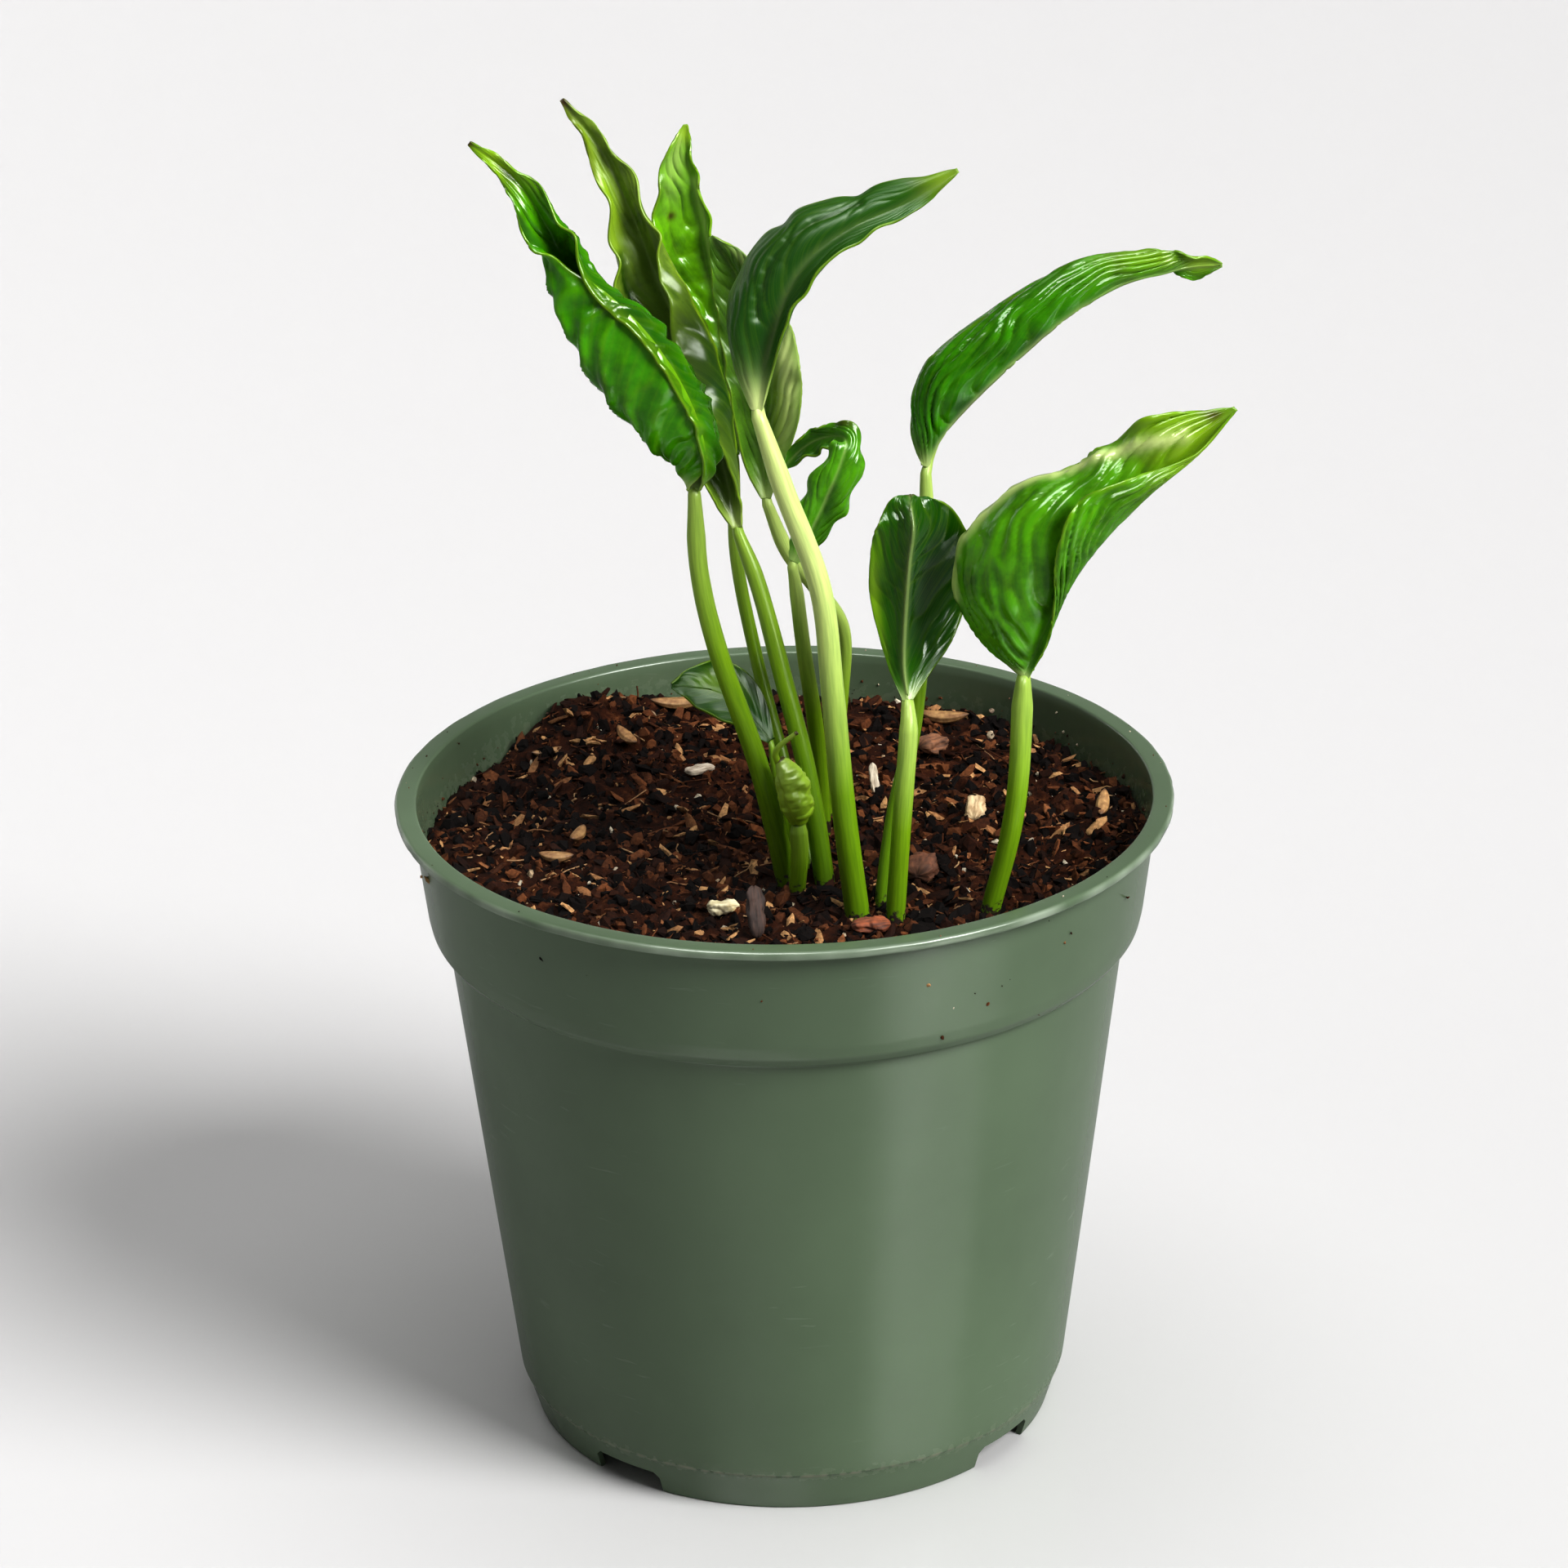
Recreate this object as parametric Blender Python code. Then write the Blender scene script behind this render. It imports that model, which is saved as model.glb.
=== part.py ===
"""A young crinkled-leaf pothos in a round nursery pot.

Run with: blender --background --python part.py
The model is in metres with +Z up. Its origin is the centre of the pot's underside, on the floor.
The front of the plant faces -Y, and +X is to the right of it. All named sizes below are millimetres.
"""

import math

import bmesh
import bpy
from mathutils import Vector

MM = 0.001
GAP = 0.4  # clearance between pieces that touch in the real plant

# Pot: one thin injection moulding.
POT_HEIGHT = 94.8
RIM_RADIUS = 55.0
LIP_WIDTH = 2.3
LIP_THICKNESS = 1.3
LIP_BEVEL = 0.3
BAND_HEIGHT = 19.8
BAND_TAPER = 1.8
SHOULDER_STEP = 2.6
SHOULDER_HEIGHT = 3.6
BASE_RADIUS = 40.1
WALL = 1.0
FOOT_HEIGHT = 6.4
FOOT_TAPER = 2.2
FOOT_STEP = 0.3
FOOT_GROOVE = 0.2  # height of the small step between the foot and the body
FOOT_INNER_SLOPE = 1.32  # how far the foot's inner wall leans out to the floor
FLOOR_CLEARANCE = 4.0
FLOOR_THICKNESS = 1.2
FLOOR_FILLET = 1.0
NOTCH_COUNT = 4
NOTCH_HEIGHT = 3.5
NOTCH_DEGREES = 16.5
NOTCH_FIRST = 51.75  # azimuth of the first notch, from +X towards +Y
DRAIN_RADIUS = 4.0
DRAIN_INSET = 9.0
DRAIN_SIDES = 16
CUT_MARGIN = 3.0  # how far a notch's cutter passes the wall
CUT_BELOW = 1.0
CENTRE_PAD_RADIUS = 6.0
POT_SEGMENTS = 48  # the potting mix has the same, so that their flats line up

# Potting mix.
HEADSPACE = 7.8
SOIL_RINGS = 8
SOIL_SHOULDER = 2.0  # how far below its level the mix leaves the wall's outline for its surface
SOCKET_TOP = 12.0  # each socket's cutter passes the soil's level by this
MOUNDS = (  # azimuth, share of the soil's radius, height, spread
    (127, 0.92, 3.6, 11.0),
    (100, 0.90, 1.2, 9.0),
    (58, 0.90, 1.8, 10.0),
    (5, 0.96, 2.2, 11.0),
    (-62, 0.45, 0.9, 12.0),
    (185, 0.55, 0.8, 12.0),
    (60, 0.35, -0.8, 10.0),
)

# Leaf stalks: a path from below the soil to the blade. Heights are above the soil's level.
STALK_DEPTH = 14.0
ROOT_LEAN = 0.25  # share of the stalk's lean that its buried end keeps
STALK_SIDES = 10
STALK_STEP = 6.0
STALK_GIRTH = 1.0  # one factor on every stalk's radius
PLANT_DRAWN_RADIUS = 50.458273  # the soil's radius that the plant's (x, y) places are drawn for
STALKS = {  # name: ((radius at the soil, radius at the blade), path of (x, y, height))
    "stalk_rolled_left": (
        (1.55, 1.25),
        ((0.4, -17.2, 0), (-3.3, -17, 18), (-8.6, -16.5, 35), (-11.0, -16, 46.5), (-11.5, -15, 57.5)),
    ),
    "stalk_tall_left": (
        (1.5, 1.2),
        ((5.6, -17.4, 0), (3.4, -14, 15.5), (0.2, -10, 28.5), (-3.0, -6, 40.5), (-5.7, -4, 47.7)),
    ),
    "stalk_arching": (
        (1.75, 1.45),
        (
            (9.9, -28.4, 0),
            (8.2, -28, 15.5),
            (6.8, -26, 32.5),
            (5.3, -24, 47),
            (0.6, -22, 60.5),
            (-2.6, -20, 70),
        ),
    ),
    "stalk_bright_back": (
        (1.1, 0.9),
        ((3.6, -12, 0), (0.2, -6, 13.5), (-3.7, 0, 28.5), (-6.2, 4, 42), (-6.1, 6, 54.7)),
    ),
    "stalk_far_right": (
        (1.2, 1.1),
        ((13.3, -24, 0), (15.1, -20, 12), (18.1, -15, 24.5), (20, -9, 43.5), (20, -6, 56.8)),
    ),
    "stalk_broad_right": (
        (1.35, 1.5),
        ((27.9, -27, 0), (30.5, -27, 11), (31.8, -27, 20.5), (32.4, -26, 33.9)),
    ),
    "stalk_upright": (
        (1.35, 1.3),
        ((14.9, -29.1, 0), (16, -28, 15.5), (16.9, -26.5, 26.5), (16.9, -25, 30.2)),
    ),
    "stalk_crinkled": (
        (1.3, 1.0),
        ((5.4, 3.2, 0), (4.7, 0, 16), (3.1, -4, 30), (2.1, -7, 40.5), (1.6, -8, 44.2)),
    ),
    "stalk_soil_leaf": (
        (0.8, 0.65),
        ((0.8, -13.2, 0), (0.3, -13, 8), (-0.9, -12.8, 15), (-1.6, -12.4, 19.4)),
    ),
    "stalk_variegated": (
        (1.2, 1.1),
        ((6.2, 8, 0), (8.3, 8, 18.5), (8.6, 7, 29), (5, 5, 36), (1, 4, 42), (-1.7, 4, 49)),
    ),
    "shoot_sheath": (
        (1.15, 1.3),
        ((1.5, -20.6, 0), (2.0, -20.4, 6), (1.9, -20.1, 11)),
    ),
}

# Leaf blades, base to tip. Each station is a cross-section: the midrib's (x, y, height), then the left
# half and the right half as (across, back, cup). A half reaches that far across the blade and back from
# the midrib; a positive cup rolls its margin to the front, and a negative one domes it.
BLADE_THICKNESS = 0.8
BLADE_ROWS = 14
BLADE_COLUMNS = 3  # per half
HEADING_STEP = 0.02  # share of the blade over which the midrib's heading is read
BLADES = {
    "leaf_rolled_left": (
        ((-11.6, -15.0, 58.3), (-0.9, -0.7, 0.1), (0.9, -0.7, 0.1)),
        ((-11.6, -12.5, 63.0), (-0.4, -7.5, 4.4), (0.9, -8.0, 4.2)),
        ((-14.8, -11.0, 70.0), (-0.5, -9.0, 5.4), (0.6, -11.0, 5.6)),
        ((-20.1, -11.0, 78.8), (-0.5, -9.0, 5.2), (0.6, -11.0, 5.0)),
        ((-26.0, -12.0, 86.5), (-0.5, -6.0, 4.0), (1.0, -8.5, 3.4)),
        ((-30.0, -13.0, 94.2), (-2.6, -2.5, 0.4), (2.8, -3.0, 0.8)),
        ((-34.2, -13.0, 101.2), (-1.6, -0.6, 0.1), (1.5, -0.6, 0.1)),
        ((-40.2, -12.0, 106.0), (-0.3, 0.0, 0.0), (0.3, 0.0, 0.0)),
    ),
    "leaf_tall_left": (
        ((-5.9, -4.0, 48.6), (-0.7, -0.1, 0.0), (0.7, -0.1, 0.0)),
        ((-7.2, -2.0, 54.5), (-2.6, -2.5, 0.8), (1.4, -3.0, 0.8)),
        ((-9.6, 1.0, 64.0), (-4.5, -4.0, 1.2), (0.6, -8.0, 3.0)),
        ((-12.6, 2.5, 73.0), (-5.5, -5.0, 1.4), (-0.8, -8.5, 4.6)),
        ((-16.2, 3.5, 81.5), (-5.2, -4.5, 1.4), (1.4, -7.0, 3.0)),
        ((-19.2, 5.0, 90.0), (-3.2, -3.0, 0.8), (2.6, -4.0, 0.6)),
        ((-23.2, 6.0, 99.0), (-1.6, -1.0, 0.2), (1.8, -1.0, 0.2)),
        ((-28.6, 6.0, 106.7), (-0.3, 0.0, 0.0), (0.3, 0.0, 0.0)),
    ),
    "leaf_arching": (
        ((-2.9, -20.0, 70.9), (-0.7, 0.1, 0.0), (0.7, -0.1, 0.0)),
        ((-1.9, -19.4, 76.5), (-4.2, 3.5, -1.6), (1.1, -1.0, 0.3)),
        ((-0.3, -18.6, 82.0), (-6.4, 6.5, -2.2), (0.9, -3.0, 0.6)),
        ((1.6, -17.8, 87.2), (-5.4, 7.0, -2.0), (1.3, -3.2, 0.8)),
        ((4.8, -17.0, 91.6), (-3.0, 6.0, -1.2), (1.8, -3.2, 0.8)),
        ((10.2, -16.6, 95.2), (-1.0, 4.4, -0.5), (1.3, -2.4, 0.4)),
        ((17.2, -16.2, 98.3), (-0.8, 2.0, -0.3), (0.9, -1.0, 0.2)),
        ((24.0, -16.0, 102.5), (-0.3, 0.0, 0.0), (0.3, 0.0, 0.0)),
    ),
    "leaf_bright_back": (
        ((-6.2, 6.2, 55.6), (-0.7, -0.1, 0.0), (0.7, -0.1, 0.0)),
        ((-6.6, 11.0, 62.0), (-3.0, -2.0, 0.8), (1.3, -1.0, 0.3)),
        ((-8.1, 14.0, 70.4), (-5.4, -3.6, 1.2), (1.4, -1.2, 0.3)),
        ((-9.6, 16.0, 79.4), (-7.0, -4.4, 1.4), (1.9, -2.0, 0.4)),
        ((-11.0, 17.0, 88.0), (-5.8, -2.8, 1.0), (1.4, -1.4, 0.3)),
        ((-12.1, 17.0, 95.0), (-3.4, -1.0, 0.3), (0.8, -0.4, 0.1)),
        ((-12.2, 18.0, 99.6), (-0.3, 0.0, 0.0), (0.3, 0.0, 0.0)),
    ),
    "leaf_far_right": (
        ((20.2, -6.0, 57.7), (-0.9, -0.3, 0.0), (0.1, 0.9, 0.0)),
        ((22.2, -6.0, 61.6), (-4.8, 1.0, -1.4), (-3.6, 6.5, 2.0)),
        ((25.6, -6.0, 65.9), (-7.6, 3.0, -2.8), (-6.4, 8.5, 2.6)),
        ((31.8, -6.0, 72.1), (-6.8, 3.4, -2.6), (-5.6, 9.0, 2.4)),
        ((39.3, -5.4, 78.4), (-5.6, 3.4, -2.0), (-4.4, 8.0, 1.8)),
        ((46.3, -4.6, 82.4), (-4.2, 3.0, -1.2), (-2.6, 6.0, 1.0)),
        ((52.4, -3.4, 83.8), (-3.2, 0.6, -0.5), (-0.6, 2.5, 0.4)),
        ((56.0, -2.6, 84.4), (-1.5, -0.6, 0.3), (0.9, 0.8, 0.2)),
        ((60.2, -2.0, 84.6), (-0.3, 0.0, 0.0), (0.3, 0.0, 0.0)),
    ),
    "leaf_broad_right": (
        ((32.5, -26.0, 34.8), (-0.7, 0.1, 0.0), (0.7, 0.0, 0.0)),
        ((33.4, -26.4, 37.2), (-7.2, 3.2, -2.0), (0.8, -0.4, 0.1)),
        ((34.8, -27.2, 41.0), (-11.6, 5.0, -3.6), (0.8, -1.2, 0.2)),
        ((37.0, -28.0, 46.4), (-14.4, 6.5, -4.4), (0.6, -2.6, 0.8)),
        ((40.2, -28.6, 52.0), (-12.2, 7.5, -4.6), (-0.4, -3.6, 2.2)),
        ((44.2, -28.2, 56.8), (-8.8, 6.0, -3.2), (-1.4, -3.8, 3.0)),
        ((49.0, -27.4, 61.6), (-6.8, 4.0, -1.6), (0.2, -3.4, 2.4)),
        ((54.0, -26.4, 66.0), (-5.2, 1.4, -0.6), (1.4, -1.8, 1.0)),
        ((60.2, -26.0, 72.4), (-0.3, 0.0, 0.0), (0.3, 0.0, 0.0)),
    ),
    "leaf_upright": (
        ((16.9, -25.0, 31.1), (-0.7, 0.1, 0.0), (0.7, 0.1, 0.0)),
        ((16.4, -23.4, 36.0), (-2.4, 1.6, 0.4), (6.0, 4.4, 1.0)),
        ((16.8, -22.0, 43.4), (-4.8, 2.6, 0.8), (8.8, 7.6, 1.6)),
        ((17.3, -21.8, 49.8), (-5.2, 3.0, 0.8), (9.2, 8.0, 1.6)),
        ((17.8, -21.4, 54.0), (-4.6, 3.0, 0.8), (6.4, 6.0, 1.2)),
        ((17.6, -19.4, 56.8), (-3.2, 2.0, 0.4), (2.8, 3.0, 0.6)),
        ((17.6, -16.6, 57.6), (-0.3, 0.0, 0.0), (0.3, 0.0, 0.0)),
    ),
    "leaf_crinkled": (
        ((1.7, -8.1, 45.1), (-0.7, 0.0, 0.0), (0.7, 0.0, 0.0)),
        ((3.9, -8.6, 49.0), (-2.4, 0.6, -0.5), (2.0, 0.6, -0.4)),
        ((6.4, -9.0, 54.6), (-2.8, 1.2, -0.8), (3.2, 1.2, -0.8)),
        ((8.4, -9.0, 59.6), (-2.0, 1.2, -0.5), (2.8, 1.4, -0.6)),
        ((9.0, -7.4, 62.4), (-1.3, 0.3, -0.2), (1.8, 1.2, -0.3)),
        ((6.2, -4.6, 61.8), (-1.3, -1.2, 0.2), (1.3, 1.0, 0.3)),
        ((3.2, -3.2, 59.8), (-1.3, -1.4, 0.3), (1.1, 0.8, 0.3)),
        ((0.4, -2.8, 56.6), (-0.3, 0.0, 0.0), (0.3, 0.0, 0.0)),
    ),
    "leaf_soil": (
        ((-1.7, -12.3, 20.3), (-0.6, 0.0, 0.0), (0.6, 0.0, 0.0)),
        ((-3.6, -11.2, 22.6), (-1.8, -1.6, 0.2), (2.0, 2.4, 0.3)),
        ((-6.2, -10.2, 25.2), (-2.4, -2.4, 0.4), (3.0, 3.8, 0.6)),
        ((-9.8, -10.0, 27.0), (-2.6, -2.2, 0.4), (3.4, 3.4, 0.6)),
        ((-12.8, -10.8, 27.9), (-1.6, -1.0, 0.2), (2.2, 1.8, 0.4)),
        ((-15.3, -11.2, 28.2), (-0.4, 0.0, 0.0), (0.4, 0.0, 0.0)),
    ),
    "leaf_variegated": (
        ((-1.9, 4.0, 49.9), (-0.7, -0.1, 0.0), (0.7, -0.1, 0.0)),
        ((-2.2, 5.6, 55.4), (-2.8, -1.0, 0.8), (2.9, -2.0, -0.4)),
        ((-1.8, 6.6, 62.4), (-4.6, -1.4, 1.0), (4.7, -4.0, -1.0)),
        ((-2.0, 7.0, 69.2), (-5.4, -0.6, 0.8), (5.1, -4.6, -1.2)),
        ((-3.4, 7.6, 76.0), (-5.0, 0.0, 0.6), (4.6, -4.0, -0.8)),
        ((-6.0, 8.2, 82.0), (-3.4, 0.0, 0.3), (3.2, -2.0, -0.3)),
        ((-8.9, 8.6, 86.4), (-0.3, 0.0, 0.0), (0.3, 0.0, 0.0)),
    ),
}

# The youngest leaf, still rolled in its sheath, and the dry tip beside it.
BUD_PATH = ((1.9, -20.1, 11.4), (1.7, -20.1, 14), (0.8, -19.9, 18), (-0.6, -19.6, 20.6))
BUD_RADII = (1.25, 1.9, 1.5, 0.6)
BUD_STEPS = 7
SPUR_PATH = ((-1.8, -20.4, 21.6), (-0.3, -20.7, 23.2), (1.9, -20.9, 25.0))
SPUR_RADIUS = 0.45
SPUR_STEPS = 4
SPUR_SIDES = 8

# Loose pieces on the potting mix: azimuth, share of the soil's radius, heading, tilt, then
# length, width and thickness.
HULL_SIDES = 6
HULL_RINGS = 5
HULL_CURL = 0.10  # how far a hull's ends rise, as a share of its length
CHIP_BLOCKINESS = 0.6  # below 1 squares a chip's rounded form
DEBRIS = {
    "seed_hull_back_left": (110, 0.885, -4, 4, 9.0, 2.6, 1.6),
    "seed_hull_back_centre": (101, 0.87, 40, 0, 4.2, 2.4, 1.5),
    "seed_hull_left_heap": (128, 0.74, 118, 6, 6.0, 1.9, 1.3),
    "seed_hull_left_front": (196, 0.66, -22, 5, 5.4, 2.2, 1.4),
    "seed_hull_left": (183, 0.58, 70, 4, 4.6, 1.9, 1.2),
    "seed_hull_wall_left": (143, 0.86, 24, 0, 4.8, 1.6, 1.1),
    "seed_hull_back_right": (57, 0.87, -26, 6, 8.2, 2.6, 1.7),
    "seed_hull_wall_right": (4, 0.90, 80, 20, 5.4, 1.9, 1.2),
    "wood_flake_centre": (119, 0.50, 24, 0, 4.6, 2.0, 0.9),
    "wood_flake_upright": (52, 0.42, 100, 58, 4.6, 1.2, 0.8),
    "cream_chunk": (252, 0.55, 4, 0, 4.4, 2.4, 1.6),
    "pale_chunk": (11, 0.55, 84, 24, 4.4, 2.6, 1.4),
    "bark_chip_back": (52, 0.70, 40, 0, 4.8, 3.6, 2.0),
    "bark_chip_right": (-41, 0.50, 70, 12, 4.6, 4.0, 2.6),
    "bark_chip_front": (-71, 0.70, 6, 0, 5.2, 2.6, 1.6),
    "wood_sliver_dark": (-97, 0.66, 96, 58, 7.0, 2.2, 1.5),
}

COLOURS = {
    "pot": ("#4F6650", 0.38),
    "soil": ("#3A2015", 0.95),
    "stalk": ("#6FA337", 0.35),
    "blade": ("#2E6B1E", 0.25),
    "young": ("#8CC63A", 0.35),
    "hull": ("#C9A06A", 0.6),
    "bark": ("#7A4A2E", 0.8),
}


def band_radius():
    """Outer radius of the band just under the lip."""
    return RIM_RADIUS - LIP_WIDTH


def body_top():
    """(radius, height) of the body's outer wall where it meets the band."""
    return band_radius() - BAND_TAPER - SHOULDER_STEP, POT_HEIGHT - BAND_HEIGHT


def floor_top():
    return FLOOR_CLEARANCE + FLOOR_THICKNESS


def floor_radius():
    """Radius of the flat floor inside the wall's fillet."""
    return BASE_RADIUS - WALL - FLOOR_FILLET


def soil_level():
    return POT_HEIGHT - HEADSPACE


def wall_profile(inset):
    """The outer wall from foot to rim, moved inwards by inset, as (radius, height) pairs.

    On the shoulder's ledge the wall is nearly level, so there the inset also lifts it.
    """
    top_radius, top_height = body_top()
    outline = [
        (BASE_RADIUS, FOOT_HEIGHT, 0),
        (top_radius, top_height, 1),
        (top_radius + 0.45 * SHOULDER_STEP, top_height + 0.12 * SHOULDER_HEIGHT, 1),
        (top_radius + 0.85 * SHOULDER_STEP, top_height + 0.50 * SHOULDER_HEIGHT, 1),
        (top_radius + SHOULDER_STEP, top_height + SHOULDER_HEIGHT, 1),
        (band_radius(), POT_HEIGHT - LIP_THICKNESS, 0),
    ]
    return [(radius - inset, height + lift * inset) for radius, height, lift in outline]


def inner_radius(height):
    """Radius of the pot's inner wall at a height between the floor and the rim."""
    profile = wall_profile(WALL)
    for (r0, z0), (r1, z1) in zip(profile, profile[1:]):
        if z0 <= height <= z1:
            return r0 + (r1 - r0) * (height - z0) / (z1 - z0)
    return profile[0][0] if height < profile[0][1] else profile[-1][0]


def soil_radius():
    return inner_radius(soil_level()) - GAP


def soil_height(x, y):
    """Height of the potting mix at (x, y): its level, plus the mounds and hollows."""
    height = soil_level()
    for azimuth, share, rise, spread in MOUNDS:
        reach = share * soil_radius()
        dx = x - reach * math.cos(math.radians(azimuth))
        dy = y - reach * math.sin(math.radians(azimuth))
        height += rise * math.exp(-(dx * dx + dy * dy) / (2 * spread * spread))
    return height


def in_pot(x, y, height):
    """A point of the plant, drawn in or out with the soil's radius and lifted to its level."""
    spread = soil_radius() / PLANT_DRAWN_RADIUS
    return Vector((x * spread, y * spread, soil_level() + height))


def hex_colour(code):
    """Linear RGBA from an sRGB hex code."""
    channels = [int(code[i : i + 2], 16) / 255 for i in (1, 3, 5)]
    linear = [c / 12.92 if c <= 0.04045 else ((c + 0.055) / 1.055) ** 2.4 for c in channels]
    return (*linear, 1.0)


def material(kind):
    """The Principled material of one kind of piece."""
    found = bpy.data.materials.get(kind)
    if found:
        return found
    code, roughness = COLOURS[kind]
    made = bpy.data.materials.new(kind)
    made.use_nodes = True
    shader = made.node_tree.nodes["Principled BSDF"]
    shader.inputs["Base Color"].default_value = hex_colour(code)
    shader.inputs["Roughness"].default_value = roughness
    shader.inputs["Metallic"].default_value = 0.0
    return made


def add_object(name, bm, kind, smooth_angle=40):
    """A scene object from a bmesh in millimetres."""
    bmesh.ops.recalc_face_normals(bm, faces=bm.faces)
    if bm.calc_volume(signed=True) < 0:
        bmesh.ops.reverse_faces(bm, faces=bm.faces)
    for vertex in bm.verts:
        vertex.co *= MM
    mesh = bpy.data.meshes.new(name)
    bm.to_mesh(mesh)
    bm.free()
    mesh.shade_smooth()
    mesh.set_sharp_from_angle(angle=math.radians(smooth_angle))
    mesh.materials.append(material(kind))
    obj = bpy.data.objects.new(name, mesh)
    bpy.context.scene.collection.objects.link(obj)
    return obj


def add_cut(obj, cutter, name):
    """Cuts cutter out of obj, and keeps the cutter out of renders and of the solid."""
    cutter.hide_render = True
    cutter.display_type = "WIRE"
    cut = obj.modifiers.new(name, "BOOLEAN")
    cut.operation = "DIFFERENCE"
    cut.solver = "EXACT"
    cut.object = cutter


def skin_rings(bm, rings):
    """Quads between successive rings of vertices, and a cap on each end."""
    for lower, upper in zip(rings, rings[1:]):
        for i in range(len(lower)):
            j = (i + 1) % len(lower)
            bm.faces.new((lower[i], lower[j], upper[j], upper[i]))
    bm.faces.new(rings[0])
    bm.faces.new(rings[-1])


def catmull(points, t):
    """A smooth curve through the points, at t from 0 to 1. A point is any tuple of numbers."""
    spans = len(points) - 1
    place = min(max(t, 0.0), 1.0) * spans
    i = min(int(place), spans - 1)
    u = place - i
    p1, p2 = points[i], points[i + 1]
    p0 = points[i - 1] if i else [2 * a - b for a, b in zip(p1, p2)]
    p3 = points[i + 2] if i + 2 <= spans else [2 * b - a for a, b in zip(p1, p2)]
    return [
        0.5 * (2 * b + (c - a) * u + (2 * a - 5 * b + 4 * c - d) * u**2 + (3 * b - a - 3 * c + d) * u**3)
        for a, b, c, d in zip(p0, p1, p2, p3)
    ]


def ring_points(radius, segments):
    """(x, y) pairs evenly round a circle."""
    angles = [2 * math.pi * i / segments for i in range(segments)]
    return [(radius * math.cos(a), radius * math.sin(a)) for a in angles]


def turned(outline, segments):
    """A bmesh turned from (radius, height) points, closed by a flat disc at each end."""
    bm = bmesh.new()
    rings = [[bm.verts.new((x, y, z)) for x, y in ring_points(r, segments)] for r, z in outline]
    skin_rings(bm, rings)
    return bm


def tube(points, radii, sides):
    """A bmesh tube through the points, with one radius each and flat ends."""
    bm = bmesh.new()
    rings = []
    across = Vector((1, 0, 0))
    for i, point in enumerate(points):
        ahead = points[min(i + 1, len(points) - 1)] - points[max(i - 1, 0)]
        ahead.normalize()
        across = (across - across.dot(ahead) * ahead).normalized()
        up = ahead.cross(across)
        ring = []
        for k in range(sides):
            angle = 2 * math.pi * k / sides
            offset = across * math.cos(angle) + up * math.sin(angle)
            ring.append(bm.verts.new(point + offset * radii[i]))
        rings.append(ring)
    skin_rings(bm, rings)
    return bm


def make_pot():
    """The pot: centre pad, foot ring, tapered body, shoulder, band and flat lip round one floor."""
    foot_radius = BASE_RADIUS - FOOT_TAPER
    lip_bottom = POT_HEIGHT - LIP_THICKNESS
    outline = [
        (CENTRE_PAD_RADIUS, 0),
        (CENTRE_PAD_RADIUS, FLOOR_CLEARANCE),
        (foot_radius - WALL + FOOT_INNER_SLOPE, FLOOR_CLEARANCE),
        (foot_radius - WALL, 0),
        (foot_radius, 0),
        (BASE_RADIUS - FOOT_STEP, FOOT_HEIGHT - FOOT_GROOVE),
        *wall_profile(0),
        (RIM_RADIUS - LIP_BEVEL, lip_bottom),
        (RIM_RADIUS, lip_bottom + LIP_BEVEL),
        (RIM_RADIUS, POT_HEIGHT - LIP_BEVEL),
        (RIM_RADIUS - LIP_BEVEL, POT_HEIGHT),
        (band_radius() - WALL + LIP_BEVEL, POT_HEIGHT),
        *reversed(wall_profile(WALL)),
        (floor_radius(), floor_top()),
    ]
    pot = add_object("pot", turned(outline, POT_SEGMENTS), "pot", smooth_angle=30)
    for k in range(NOTCH_COUNT):
        azimuth = math.radians(NOTCH_FIRST + 360 * k / NOTCH_COUNT)
        add_cut(pot, make_notch_cutter(k, azimuth), f"notch_{k}")
        add_cut(pot, make_drain_cutter(k, azimuth), f"drain_{k}")
    return pot


def make_notch_cutter(k, azimuth):
    """A block across the foot ring, with its upper corners bevelled as the moulding's are."""
    width = 2 * BASE_RADIUS * math.sin(math.radians(NOTCH_DEGREES / 2))
    half = width / 2
    corner = 0.25 * NOTCH_HEIGHT
    outline = [
        (-half, -CUT_BELOW),
        (half, -CUT_BELOW),
        (half, NOTCH_HEIGHT - corner),
        (half - corner, NOTCH_HEIGHT),
        (corner - half, NOTCH_HEIGHT),
        (-half, NOTCH_HEIGHT - corner),
    ]
    bm = bmesh.new()
    rings = []
    for reach in (BASE_RADIUS - FOOT_TAPER - WALL - CUT_MARGIN, BASE_RADIUS + CUT_MARGIN):
        ring = []
        for side, height in outline:
            x = reach * math.cos(azimuth) - side * math.sin(azimuth)
            y = reach * math.sin(azimuth) + side * math.cos(azimuth)
            ring.append(bm.verts.new((x, y, height)))
        rings.append(ring)
    skin_rings(bm, rings)
    return add_object(f"cutter_notch_{k}", bm, "pot")


def make_drain_cutter(k, azimuth):
    """A round drain hole through the floor, just inside the notch."""
    reach = BASE_RADIUS - DRAIN_INSET
    foot = Vector((reach * math.cos(azimuth), reach * math.sin(azimuth), FLOOR_CLEARANCE - CUT_BELOW))
    head = foot + Vector((0, 0, FLOOR_THICKNESS + 2 * CUT_BELOW))
    bm = tube([foot, head], [DRAIN_RADIUS, DRAIN_RADIUS], DRAIN_SIDES)
    return add_object(f"cutter_drain_{k}", bm, "pot")


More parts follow.
